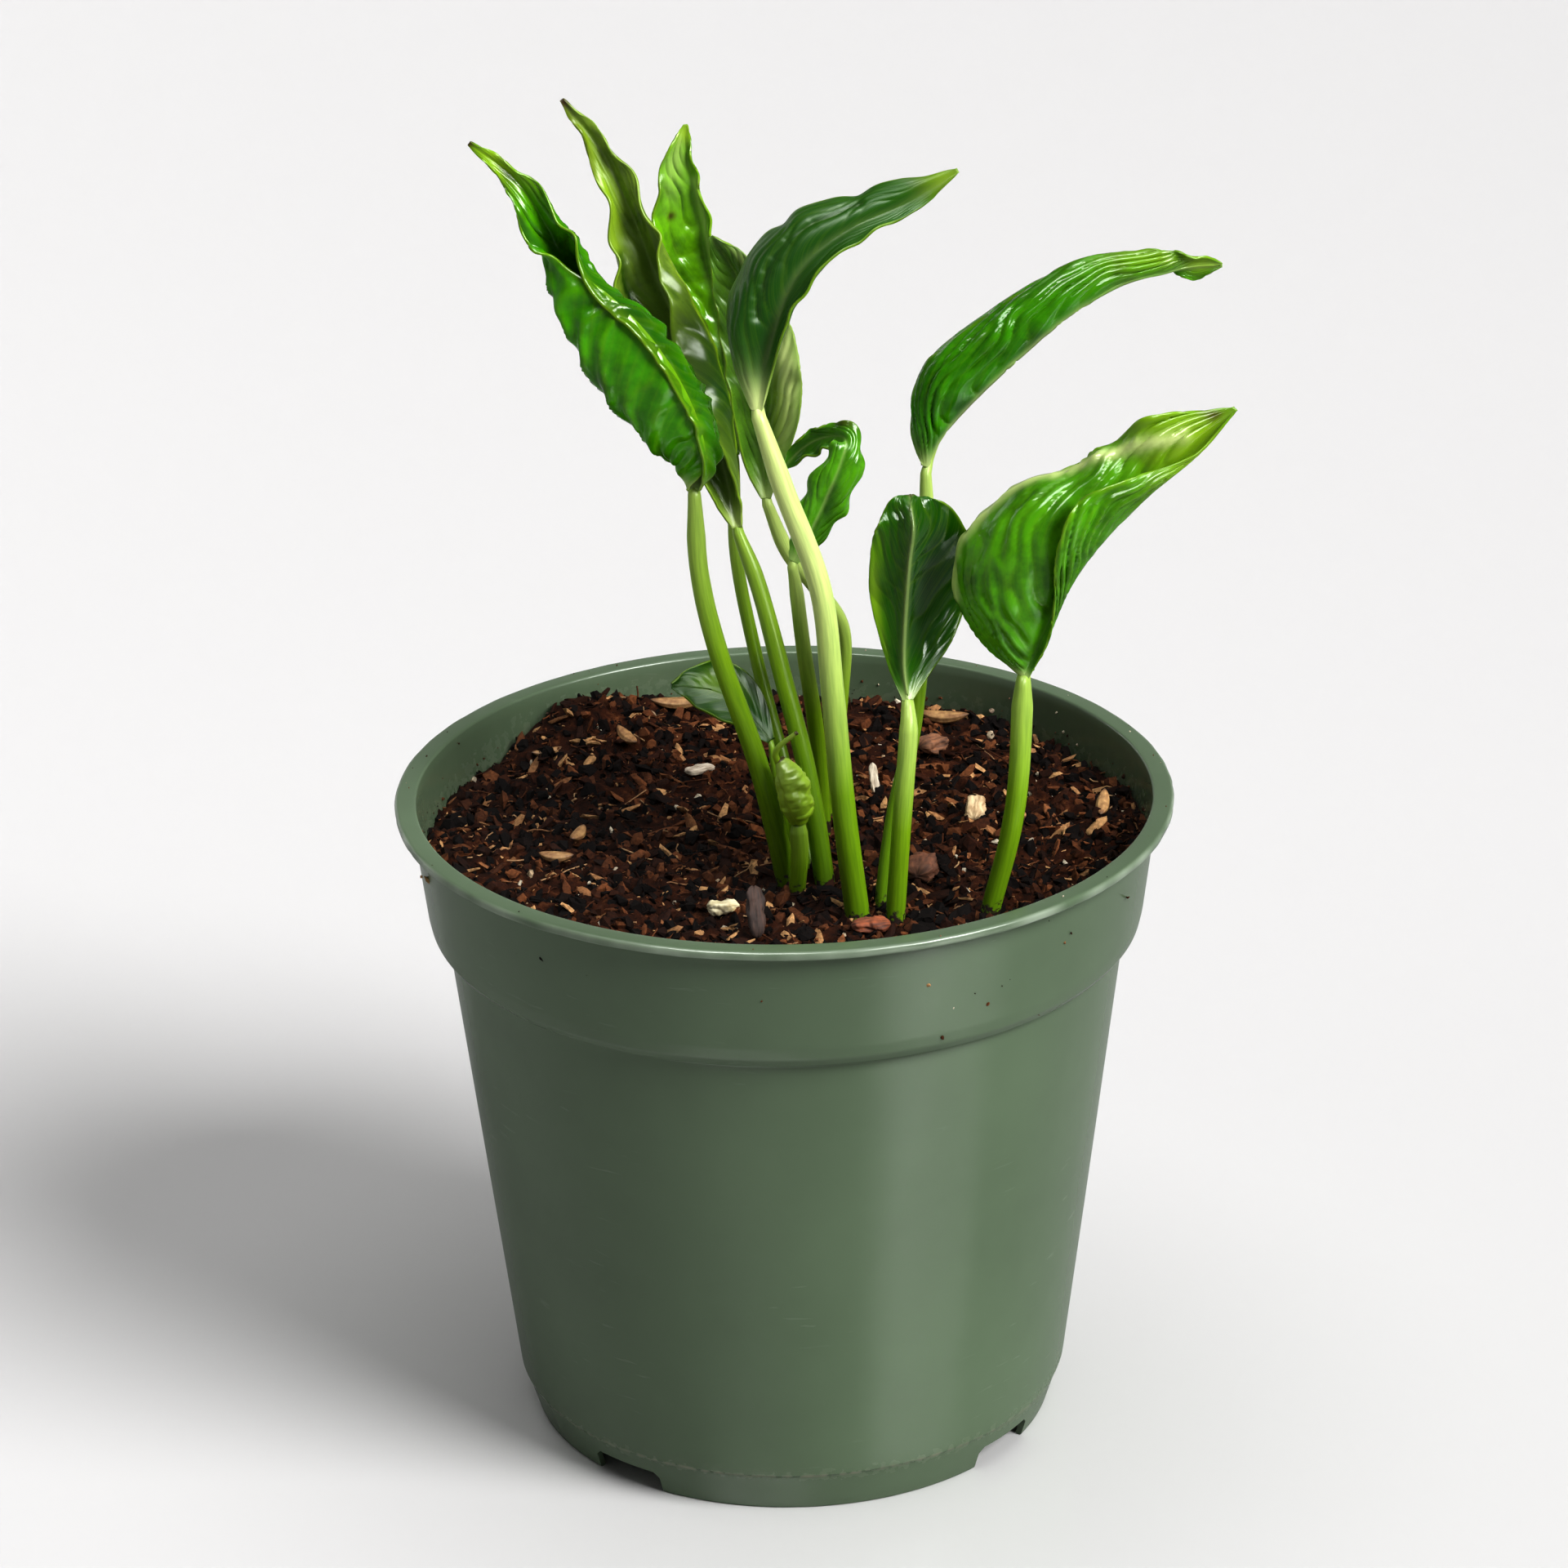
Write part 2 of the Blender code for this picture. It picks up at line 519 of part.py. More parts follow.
def stalk_path(path):
    """Points along a stalk from its end below the soil to its blade, about STALK_STEP apart."""
    drawn = [in_pot(*point) for point in path]
    lean = (drawn[1] - drawn[0]).normalized()
    root = drawn[0] - STALK_DEPTH * Vector((ROOT_LEAN * lean.x, ROOT_LEAN * lean.y, 1.0))
    through = [root, *drawn]
    length = sum((b - a).length for a, b in zip(through, through[1:]))
    count = max(6, round(length / STALK_STEP))
    return [Vector(catmull(through, i / count)) for i in range(count + 1)]


def make_stalk(name, radii, path):
    """One leaf stalk, slightly thicker at the soil than at the blade."""
    points = stalk_path(path)
    at_soil, at_blade = (STALK_GIRTH * r for r in radii)
    sizes = []
    for point in points:
        rise = max(0.0, point.z - soil_level()) / max(points[-1].z - soil_level(), 1.0)
        sizes.append(at_soil + (at_blade - at_soil) * rise)
    kind = "young" if name == "shoot_sheath" else "stalk"
    return add_object(name, tube(points, sizes, STALK_SIDES), kind, 60)


def make_socket_cutter(name, radii, path):
    """The stalk's own shape with a clearance all round, from below its end to above the soil."""
    points = [p for p in stalk_path(path) if p.z < soil_level() + SOCKET_TOP]
    start = points[0] + (points[0] - points[1]).normalized() * GAP
    points = [start, *points[1:]]
    sizes = [STALK_GIRTH * radii[0] + GAP] * len(points)
    return add_object(f"cutter_{name}", tube(points, sizes, STALK_SIDES), "soil")


def make_soil():
    """The potting mix: it fills the pot to its uneven surface and has a socket round each stalk."""
    wall = [(r, z) for r, z in wall_profile(WALL + GAP) if z < soil_level() - SOIL_SHOULDER]
    bm = bmesh.new()
    rings = []
    for radius, height in [(floor_radius() - GAP, floor_top() + GAP), *wall]:
        rings.append([bm.verts.new((x, y, height)) for x, y in ring_points(radius, POT_SEGMENTS)])
    for step in range(SOIL_RINGS, 0, -1):
        circle = ring_points(soil_radius() * step / SOIL_RINGS, POT_SEGMENTS)
        rings.append([bm.verts.new((x, y, soil_height(x, y))) for x, y in circle])
    skin_rings(bm, rings)
    soil = add_object("soil", bm, "soil", 60)
    for name, (radii, path) in STALKS.items():
        add_cut(soil, make_socket_cutter(name, radii, path), f"socket_{name}")
    return soil


def blade_section(station, ahead):
    """Points across a blade at one station, from the left margin through the midrib to the right."""
    mid = Vector(station[0:3])
    across = Vector((ahead.z, 0, -ahead.x)).normalized()
    back = Vector((0, 1, 0))
    halves = []
    for side, (reach, depth, cup) in ((-1, station[3:6]), (1, station[6:9])):
        span = math.hypot(reach, depth) or 1.0
        bulge = Vector((-side * depth, side * reach)) * (cup / span)
        points = []
        for k in range(1, BLADE_COLUMNS + 1):
            u = k / BLADE_COLUMNS
            arch = 4 * u * (1 - u)
            a = reach * u + bulge.x * arch
            b = depth * u + bulge.y * arch
            points.append(mid + across * a + back * b)
        halves.append(points)
    return [*reversed(halves[0]), mid, *halves[1]]


def blade_grid(stations):
    """Rows of points over a whole blade."""
    flat = [sum(station, ()) for station in stations]
    rows = []
    for i in range(BLADE_ROWS + 1):
        t = i / BLADE_ROWS
        before = Vector(catmull(flat, max(t - HEADING_STEP, 0))[:3])
        after = Vector(catmull(flat, min(t + HEADING_STEP, 1))[:3])
        rows.append(blade_section(catmull(flat, t), after - before))
    return rows


def make_blade(name, stations):
    """One leaf blade: a thin closed shell around its grid of points."""
    grid = [[in_pot(*point) for point in row] for row in blade_grid(stations)]
    last_row, last_column = len(grid) - 1, len(grid[0]) - 1
    bm = bmesh.new()
    faces = []
    for side in (-1, 1):
        sheet = []
        for i, row in enumerate(grid):
            line = []
            for j, point in enumerate(row):
                along = grid[min(i + 1, last_row)][j] - grid[max(i - 1, 0)][j]
                over = row[min(j + 1, last_column)] - row[max(j - 1, 0)]
                normal = over.cross(along).normalized()
                line.append(bm.verts.new(point + normal * side * BLADE_THICKNESS / 2))
            sheet.append(line)
        faces.append(sheet)
    for sheet in faces:
        for i in range(last_row):
            for j in range(last_column):
                bm.faces.new((sheet[i][j], sheet[i][j + 1], sheet[i + 1][j + 1], sheet[i + 1][j]))
    border = [(0, j) for j in range(last_column)]
    border += [(i, last_column) for i in range(last_row)]
    border += [(last_row, j) for j in range(last_column, 0, -1)]
    border += [(i, 0) for i in range(last_row, 0, -1)]
    for (i0, j0), (i1, j1) in zip(border, border[1:] + border[:1]):
        bm.faces.new((faces[0][i0][j0], faces[0][i1][j1], faces[1][i1][j1], faces[1][i0][j0]))
    return add_object(name, bm, "blade", 60)


def make_bud_and_spur():
    """The emerging leaf above its sheath, and the dry spur beside it."""
    shares = [i / BUD_STEPS for i in range(BUD_STEPS + 1)]
    points = [in_pot(*catmull(BUD_PATH, t)) for t in shares]
    radii = [catmull([(r,) for r in BUD_RADII], t)[0] for t in shares]
    add_object("emerging_leaf", tube(points, radii, STALK_SIDES), "young", 60)
    points = [in_pot(*catmull(SPUR_PATH, i / SPUR_STEPS)) for i in range(SPUR_STEPS + 1)]
    add_object("shoot_spur", tube(points, [SPUR_RADIUS] * len(points), SPUR_SIDES), "young", 60)


def make_debris(name, place, size):
    """One loose hull, flake or chip, resting just clear of the potting mix."""
    azimuth, share, heading, tilt = place
    length, width, thickness = size
    reach = share * soil_radius()
    x = reach * math.cos(math.radians(azimuth))
    y = reach * math.sin(math.radians(azimuth))
    hull = name.startswith("seed_hull")
    bm = bmesh.new()
    bmesh.ops.create_uvsphere(bm, u_segments=HULL_SIDES, v_segments=HULL_RINGS, radius=0.5)
    turn = math.radians(heading)
    pitch = math.radians(tilt)
    for vertex in bm.verts:
        # The sphere's axis becomes the piece's length; a hull narrows to its ends, a chip is blocky.
        along, side, up = vertex.co.z, vertex.co.x, vertex.co.y
        if not hull:
            along, side, up = (
                math.copysign(abs(2 * c) ** CHIP_BLOCKINESS, c) / 2 for c in (along, side, up)
            )
        across = side * width
        curl = HULL_CURL * length * (2 * along) ** 2 if hull else 0.0
        lift = up * thickness + curl
        reach_x = along * length * math.cos(pitch) - lift * math.sin(pitch)
        rise = along * length * math.sin(pitch) + lift * math.cos(pitch)
        vertex.co = Vector(
            (
                x + reach_x * math.cos(turn) - across * math.sin(turn),
                y + reach_x * math.sin(turn) + across * math.cos(turn),
                rise,
            )
        )
    needed = max(soil_height(v.co.x, v.co.y) - v.co.z for v in bm.verts)
    for vertex in bm.verts:
        vertex.co.z += needed + GAP
    kind = "bark" if "bark" in name or "dark" in name else "hull"
    return add_object(name, bm, kind, 50)


def main():
    for obj in list(bpy.data.objects):
        bpy.data.objects.remove(obj, do_unlink=True)
    make_pot()
    make_soil()
    for name, (radii, path) in STALKS.items():
        make_stalk(name, radii, path)
    for name, stations in BLADES.items():
        make_blade(name, stations)
    make_bud_and_spur()
    for name, numbers in DEBRIS.items():
        make_debris(name, numbers[:4], numbers[4:])


main()
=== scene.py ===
"""Looks of a young crinkled-leaf pothos in a round nursery pot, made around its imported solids.

Laid out as an add-on: each operator makes one group of pieces, and main() runs them in order.
The frame and every finished piece are in metres with +Z up. Shapes below are drawn in millimetres.
"""

import math
import random

import bmesh
import bpy
import numpy as np
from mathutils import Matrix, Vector, noise


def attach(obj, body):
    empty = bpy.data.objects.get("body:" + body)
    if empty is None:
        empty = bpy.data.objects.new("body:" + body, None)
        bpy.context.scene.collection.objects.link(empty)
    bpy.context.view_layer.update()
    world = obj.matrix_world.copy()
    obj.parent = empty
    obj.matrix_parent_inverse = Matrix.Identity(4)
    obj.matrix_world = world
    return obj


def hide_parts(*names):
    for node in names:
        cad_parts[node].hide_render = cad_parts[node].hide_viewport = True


bl_info = {
    "name": "Potted pothos",
    "version": (1, 0, 0),
    "blender": (4, 5, 0),
    "location": "View3D > Sidebar > Pothos",
    "description": "Makes a young crinkled-leaf pothos in a nursery pot",
    "category": "Add Mesh",
}

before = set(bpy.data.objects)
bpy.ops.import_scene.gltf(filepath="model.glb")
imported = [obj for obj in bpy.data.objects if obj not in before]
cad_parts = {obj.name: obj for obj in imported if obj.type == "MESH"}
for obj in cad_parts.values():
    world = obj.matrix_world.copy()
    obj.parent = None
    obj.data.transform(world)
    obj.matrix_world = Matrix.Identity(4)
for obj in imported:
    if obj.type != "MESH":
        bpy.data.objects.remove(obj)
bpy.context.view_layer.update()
MM = 0.001

# Pot, as the solids have it. Lengths are in millimetres and angles in degrees.
POT_HEIGHT = 94.8
RIM_RADIUS = 55.0
LIP_WIDTH = 2.3
LIP_THICKNESS = 1.3
BAND_HEIGHT = 19.8
BAND_TAPER = 1.8
SHOULDER_STEP = 2.6
SHOULDER_HEIGHT = 3.6
BASE_RADIUS = 40.1
WALL = 1.0
FOOT_HEIGHT = 6.4
FOOT_TAPER = 2.2
FOOT_STEP = 0.3
FLOOR_CLEARANCE = 4.0
FLOOR_THICKNESS = 1.2
NOTCH_COUNT = 4
NOTCH_HEIGHT = 3.5
NOTCH_DEGREES = 16.5
NOTCH_FIRST = 51.75
DRAIN_RADIUS = 4.0
DRAIN_INSET = 9.0
CENTRE_PAD_RADIUS = 6.0
CORNER_RADIUS = 0.35
NOTCH_REACH = 3.0  # how far a notch's cutter stands past the wall on each side
DRAIN_CUT_DEPTH = 6.0

# Potting mix.
SOIL_LEVEL = POT_HEIGHT - 7.8
MIX_CLEARANCE = 0.08  # between the mix and the wall, too thin to see
MOUNDS = (  # azimuth, share of the soil's radius, height, spread
    (127, 0.92, 3.6, 11.0),
    (100, 0.90, 1.2, 9.0),
    (58, 0.90, 1.8, 10.0),
    (5, 0.96, 2.2, 11.0),
    (-62, 0.45, 0.9, 12.0),
    (185, 0.55, 0.8, 12.0),
    (60, 0.35, -0.8, 10.0),
)
HEAP = (-29.0, 36.5, 7.5, 2.6)  # loose heap against the back of the wall: x, y, spread, height
MIX_SEGMENTS = 280
MIX_RINGS = 96
FIBRE_RADIUS = 0.13

# Leaf stalks: (radius at the soil, radius at the blade), path of (x, y, height above the soil).
STALKS = {
    "stalk_rolled_left": (
        (1.55, 1.25),
        (
            (0.4, -17.2, 0),
            (-3.3, -17, 18),
            (-8.6, -16.5, 35),
            (-11.0, -16, 46.5),
            (-11.5, -15, 57.5),
        ),
    ),
    "stalk_tall_left": (
        (1.5, 1.2),
        ((5.6, -17.4, 0), (3.4, -14, 15.5), (0.2, -10, 28.5), (-3.0, -6, 40.5), (-5.7, -4, 47.7)),
    ),
    "stalk_arching": (
        (1.75, 1.45),
        (
            (9.9, -28.4, 0),
            (8.2, -28, 15.5),
            (6.8, -26, 32.5),
            (5.3, -24, 47),
            (0.6, -22, 60.5),
            (-2.6, -20, 70),
        ),
    ),
    "stalk_bright_back": (
        (1.1, 0.9),
        ((3.6, -12, 0), (0.2, -6, 13.5), (-3.7, 0, 28.5), (-6.2, 4, 42), (-6.1, 6, 54.7)),
    ),
    "stalk_far_right": (
        (1.2, 1.1),
        ((13.3, -24, 0), (15.1, -20, 12), (18.1, -15, 24.5), (20, -9, 43.5), (20, -6, 56.8)),
    ),
    "stalk_broad_right": (
        (1.35, 1.5),
        ((27.9, -27, 0), (30.5, -27, 11), (31.8, -27, 20.5), (32.4, -26, 33.9)),
    ),
    "stalk_upright": (
        (1.35, 1.3),
        ((14.9, -29.1, 0), (16, -28, 15.5), (16.9, -26.5, 26.5), (16.9, -25, 30.2)),
    ),
    "stalk_crinkled": (
        (1.3, 1.0),
        ((5.4, 3.2, 0), (4.7, 0, 16), (3.1, -4, 30), (2.1, -7, 40.5), (1.6, -8, 44.2)),
    ),
    "stalk_soil_leaf": (
        (0.8, 0.65),
        ((0.8, -13.2, 0), (0.3, -13, 8), (-0.9, -12.8, 15), (-1.6, -12.4, 19.4)),
    ),
    "stalk_variegated": (
        (1.2, 1.1),
        ((6.2, 8, 0), (8.3, 8, 18.5), (8.6, 7, 29), (5, 5, 36), (1, 4, 42), (-1.7, 4, 49)),
    ),
    "shoot_sheath": (
        (1.15, 1.3),
        ((1.5, -20.6, 0), (2.0, -20.4, 6), (1.9, -20.1, 11)),
    ),
}
STALK_DEPTH = 7.0  # how far a stalk runs on below the soil
ROOT_LEAN = 0.25  # share of its lean that it keeps there
STALK_SIDES = 28
STALK_STEPS = 90
STALK_END = (0.02, 0.06, 0.10)  # places along the blade that a stalk's end runs past
STALK_END_STEPS = 12
LINE_SAMPLES = 240

# Leaf blades, base to tip: the midrib's (x, y, height), then the left half and the right half as
# (across, back, cup). A positive cup rolls the margin to the front, and a negative one domes it.
BLADES = {
    "leaf_rolled_left": (
        ((-11.6, -15.0, 58.3), (-0.9, -0.7, 0.1), (0.9, -0.7, 0.1)),
        ((-11.6, -12.5, 63.0), (1.8, -5.8, 4.2), (1.6, -6.4, 3.0)),
        ((-14.8, -11.0, 70.0), (3.8, -8.6, 7.4), (3.1, -9.5, 4.2)),
        ((-20.1, -11.0, 78.8), (4.2, -8.6, 8.6), (3.4, -9.6, 3.6)),
        ((-26.0, -12.0, 86.5), (2.8, -6.0, 5.6), (2.4, -7.4, 2.6)),
        ((-30.0, -13.0, 94.2), (-2.6, -2.5, 0.4), (2.8, -3.0, 0.8)),
        ((-34.2, -13.0, 101.2), (-1.6, -0.6, 0.1), (1.5, -0.6, 0.1)),
        ((-40.2, -12.0, 106.0), (-0.3, 0.0, 0.0), (0.3, 0.0, 0.0)),
    ),
    "leaf_tall_left": (
        ((-5.9, -4.0, 48.6), (-0.7, -0.1, 0.0), (0.7, -0.1, 0.0)),
        ((-7.2, -2.0, 54.5), (-2.6, -2.5, 0.8), (1.4, -3.0, 0.8)),
        ((-9.6, 1.0, 64.0), (-4.5, -4.0, 1.2), (0.6, -8.0, 3.0)),
        ((-12.6, 2.5, 73.0), (-5.5, -5.0, 1.4), (-0.8, -8.5, 4.6)),
        ((-16.2, 3.5, 81.5), (-5.2, -4.5, 1.4), (1.4, -7.0, 3.0)),
        ((-19.2, 5.0, 90.0), (-3.2, -3.0, 0.8), (2.6, -4.0, 0.6)),
        ((-23.2, 6.0, 99.0), (-1.6, -1.0, 0.2), (1.8, -1.0, 0.2)),
        ((-28.6, 6.0, 106.7), (-0.3, 0.0, 0.0), (0.3, 0.0, 0.0)),
    ),
    "leaf_arching": (
        ((-2.9, -20.0, 70.9), (-0.7, 0.1, 0.0), (0.7, -0.1, 0.0)),
        ((-1.9, -19.4, 76.5), (-4.2, 3.5, -1.6), (1.1, -1.0, 0.3)),
        ((-0.3, -18.6, 82.0), (-6.4, 6.5, -2.2), (0.9, -3.0, 0.6)),
        ((1.6, -17.8, 87.2), (-5.4, 7.0, -2.0), (1.3, -3.2, 0.8)),
        ((4.8, -17.0, 91.6), (-4.4, 6.0, -1.6), (1.8, -3.2, 0.8)),
        ((10.2, -16.6, 95.2), (-2.8, 4.4, -1.0), (1.3, -2.4, 0.4)),
        ((17.2, -16.2, 98.3), (-2.4, 2.0, -0.5), (1.4, -1.0, 0.2)),
        ((24.0, -16.0, 102.5), (-0.3, 0.0, 0.0), (0.3, 0.0, 0.0)),
    ),
    "leaf_bright_back": (
        ((-6.2, 6.2, 55.6), (-0.7, -0.1, 0.0), (0.7, -0.1, 0.0)),
        ((-6.6, 11.0, 62.0), (-3.0, -2.0, 0.8), (1.3, -1.0, 0.3)),
        ((-8.1, 14.0, 70.4), (-5.4, -3.6, 1.2), (1.4, -1.2, 0.3)),
        ((-9.6, 16.0, 79.4), (-7.0, -4.4, 1.4), (1.9, -2.0, 0.4)),
        ((-11.0, 17.0, 88.0), (-5.8, -2.8, 1.0), (1.4, -1.4, 0.3)),
        ((-12.1, 17.0, 95.0), (-3.4, -1.0, 0.3), (0.8, -0.4, 0.1)),
        ((-12.2, 18.0, 99.6), (-0.3, 0.0, 0.0), (0.3, 0.0, 0.0)),
    ),
    "leaf_far_right": (
        ((20.2, -6.0, 57.7), (-0.9, -0.3, 0.0), (0.1, 0.9, 0.0)),
        ((22.2, -6.0, 61.6), (-4.8, 1.0, -1.4), (-3.6, 6.5, 2.0)),
        ((25.6, -6.0, 65.9), (-7.6, 3.0, -2.8), (-6.4, 8.5, 2.6)),
        ((31.8, -6.0, 72.1), (-6.8, 3.4, -2.6), (-5.6, 9.0, 2.4)),
        ((39.3, -5.4, 78.4), (-5.6, 3.4, -2.0), (-4.4, 8.0, 1.8)),
        ((46.3, -4.6, 82.4), (-4.2, 3.0, -1.2), (-2.6, 6.0, 1.0)),
        ((52.4, -3.4, 83.8), (-3.2, 0.6, -0.5), (-0.6, 2.5, 0.4)),
        ((56.0, -2.6, 84.4), (-2.2, -0.9, 0.6), (2.0, 0.9, 0.5)),
        ((60.2, -2.0, 84.6), (-0.3, 0.0, 0.0), (0.3, 0.0, 0.0)),
    ),
    "leaf_broad_right": (
        ((32.5, -26.0, 34.8), (-0.7, 0.1, 0.0), (0.7, 0.0, 0.0)),
        ((33.4, -26.4, 37.2), (-7.2, 3.2, -2.0), (0.8, -0.4, 0.1)),
        ((34.8, -27.2, 41.0), (-11.6, 5.0, -3.6), (0.8, -1.2, 0.2)),
        ((37.0, -28.0, 46.4), (-14.0, 6.5, -4.4), (-0.8, -2.2, 0.6)),
        ((40.2, -28.6, 52.0), (-12.0, 7.5, -4.6), (-4.6, -3.4, 1.2)),
        ((44.2, -28.2, 56.8), (-8.8, 6.0, -3.2), (-6.8, -3.0, 1.6)),
        ((49.0, -27.4, 61.6), (-7.2, 4.0, -1.6), (-3.8, -2.6, 1.4)),
        ((54.0, -26.4, 66.0), (-7.0, 1.4, -0.8), (-0.4, -1.6, 0.6)),
        ((60.2, -26.0, 72.4), (-0.3, 0.0, 0.0), (0.3, 0.0, 0.0)),
    ),
    "leaf_upright": (
        ((16.9, -25.0, 31.1), (-0.7, 0.1, 0.0), (0.7, 0.1, 0.0)),
        ((16.4, -23.4, 36.0), (-2.4, 1.6, 0.4), (6.0, 4.4, 1.0)),
        ((16.8, -22.0, 43.4), (-4.8, 2.6, 0.8), (8.8, 7.6, 1.6)),
        ((17.3, -21.8, 49.8), (-5.2, 3.0, 0.8), (9.2, 8.0, 1.6)),
        ((17.8, -21.4, 54.0), (-4.6, 3.0, 0.8), (6.4, 6.0, 1.2)),
        ((17.6, -19.4, 56.8), (-3.2, 2.0, 0.4), (2.8, 3.0, 0.6)),
        ((17.6, -16.6, 57.6), (-0.3, 0.0, 0.0), (0.3, 0.0, 0.0)),
    ),
    "leaf_crinkled": (
        ((1.7, -8.1, 45.1), (-0.7, 0.0, 0.0), (0.7, 0.0, 0.0)),
        ((3.9, -8.6, 49.0), (-2.4, 0.6, -0.5), (2.0, 0.6, -0.4)),
        ((6.4, -9.0, 54.6), (-2.8, 1.2, -0.8), (3.2, 1.2, -0.8)),
        ((8.4, -9.0, 59.6), (-2.0, 1.2, -0.5), (2.8, 1.4, -0.6)),
        ((9.0, -7.4, 62.4), (-1.3, 0.3, -0.2), (1.8, 1.2, -0.3)),
        ((6.2, -4.6, 61.8), (-1.3, -1.2, 0.2), (1.3, 1.0, 0.3)),
        ((3.2, -3.2, 59.8), (-1.3, -1.4, 0.3), (1.1, 0.8, 0.3)),
        ((0.4, -2.8, 56.6), (-0.3, 0.0, 0.0), (0.3, 0.0, 0.0)),
    ),
    "leaf_soil": (
        ((-1.7, -12.3, 20.3), (-0.6, 0.0, 0.0), (0.6, 0.0, 0.0)),
        ((-3.6, -11.2, 22.6), (-1.8, -1.6, 0.2), (2.0, 2.4, 0.3)),
        ((-6.2, -10.2, 25.2), (-2.4, -2.4, 0.4), (3.0, 3.8, 0.6)),
        ((-9.8, -10.0, 27.0), (-2.6, -2.2, 0.4), (3.4, 3.4, 0.6)),
        ((-12.8, -10.8, 27.9), (-1.6, -1.0, 0.2), (2.2, 1.8, 0.4)),
        ((-15.3, -11.2, 28.2), (-0.4, 0.0, 0.0), (0.4, 0.0, 0.0)),
    ),
    "leaf_variegated": (
        ((-1.9, 4.0, 49.9), (-0.7, -0.1, 0.0), (0.7, -0.1, 0.0)),
        ((-2.2, 5.6, 55.4), (-2.8, -1.0, 0.8), (2.9, -2.0, -0.4)),
        ((-1.8, 6.6, 62.4), (-4.6, -1.4, 1.0), (4.7, -4.0, -1.0)),
        ((-2.0, 7.0, 69.2), (-5.4, -0.6, 0.8), (5.1, -4.6, -1.2)),
        ((-3.4, 7.6, 76.0), (-5.0, 0.0, 0.6), (4.6, -4.0, -0.8)),
        ((-6.0, 8.2, 82.0), (-3.4, 0.0, 0.3), (3.2, -2.0, -0.3)),
        ((-8.9, 8.6, 86.4), (-0.3, 0.0, 0.0), (0.3, 0.0, 0.0)),
    ),
}

# How each blade's skin lies: ridges between side veins along it, their height and their slant
# towards the tip, the finer wrinkles' height, and its margin's waves: height, count and start.
CRINKLE = {
    "leaf_rolled_left": (11, 0.75, 0.22, 0.80, 0.65, 8, 0.55),
    "leaf_tall_left": (10, 0.22, 0.25, 0.50, 0.65, 8, 0.2),
    "leaf_arching": (7, 0.14, 0.70, 0.10, 0.40, 5, 0.3),
    "leaf_bright_back": (10, 0.36, 0.30, 0.42, 0.40, 7, 0.2),
    "leaf_far_right": (11, 0.55, 0.44, 0.55, 0.40, 6, 0.5),
    "leaf_broad_right": (9, 0.60, 0.52, 0.60, 0.40, 6, 0.45),
    "leaf_upright": (8, 0.16, 0.35, 0.26, 0.25, 5, 0.1),
    "leaf_crinkled": (11, 0.38, 0.25, 0.42, 0.50, 7, 0.1),
    "leaf_soil": (7, 0.12, 0.30, 0.12, 0.20, 4, 0.1),
    "leaf_variegated": (11, 0.26, 0.30, 0.30, 0.35, 6, 0.3),
}

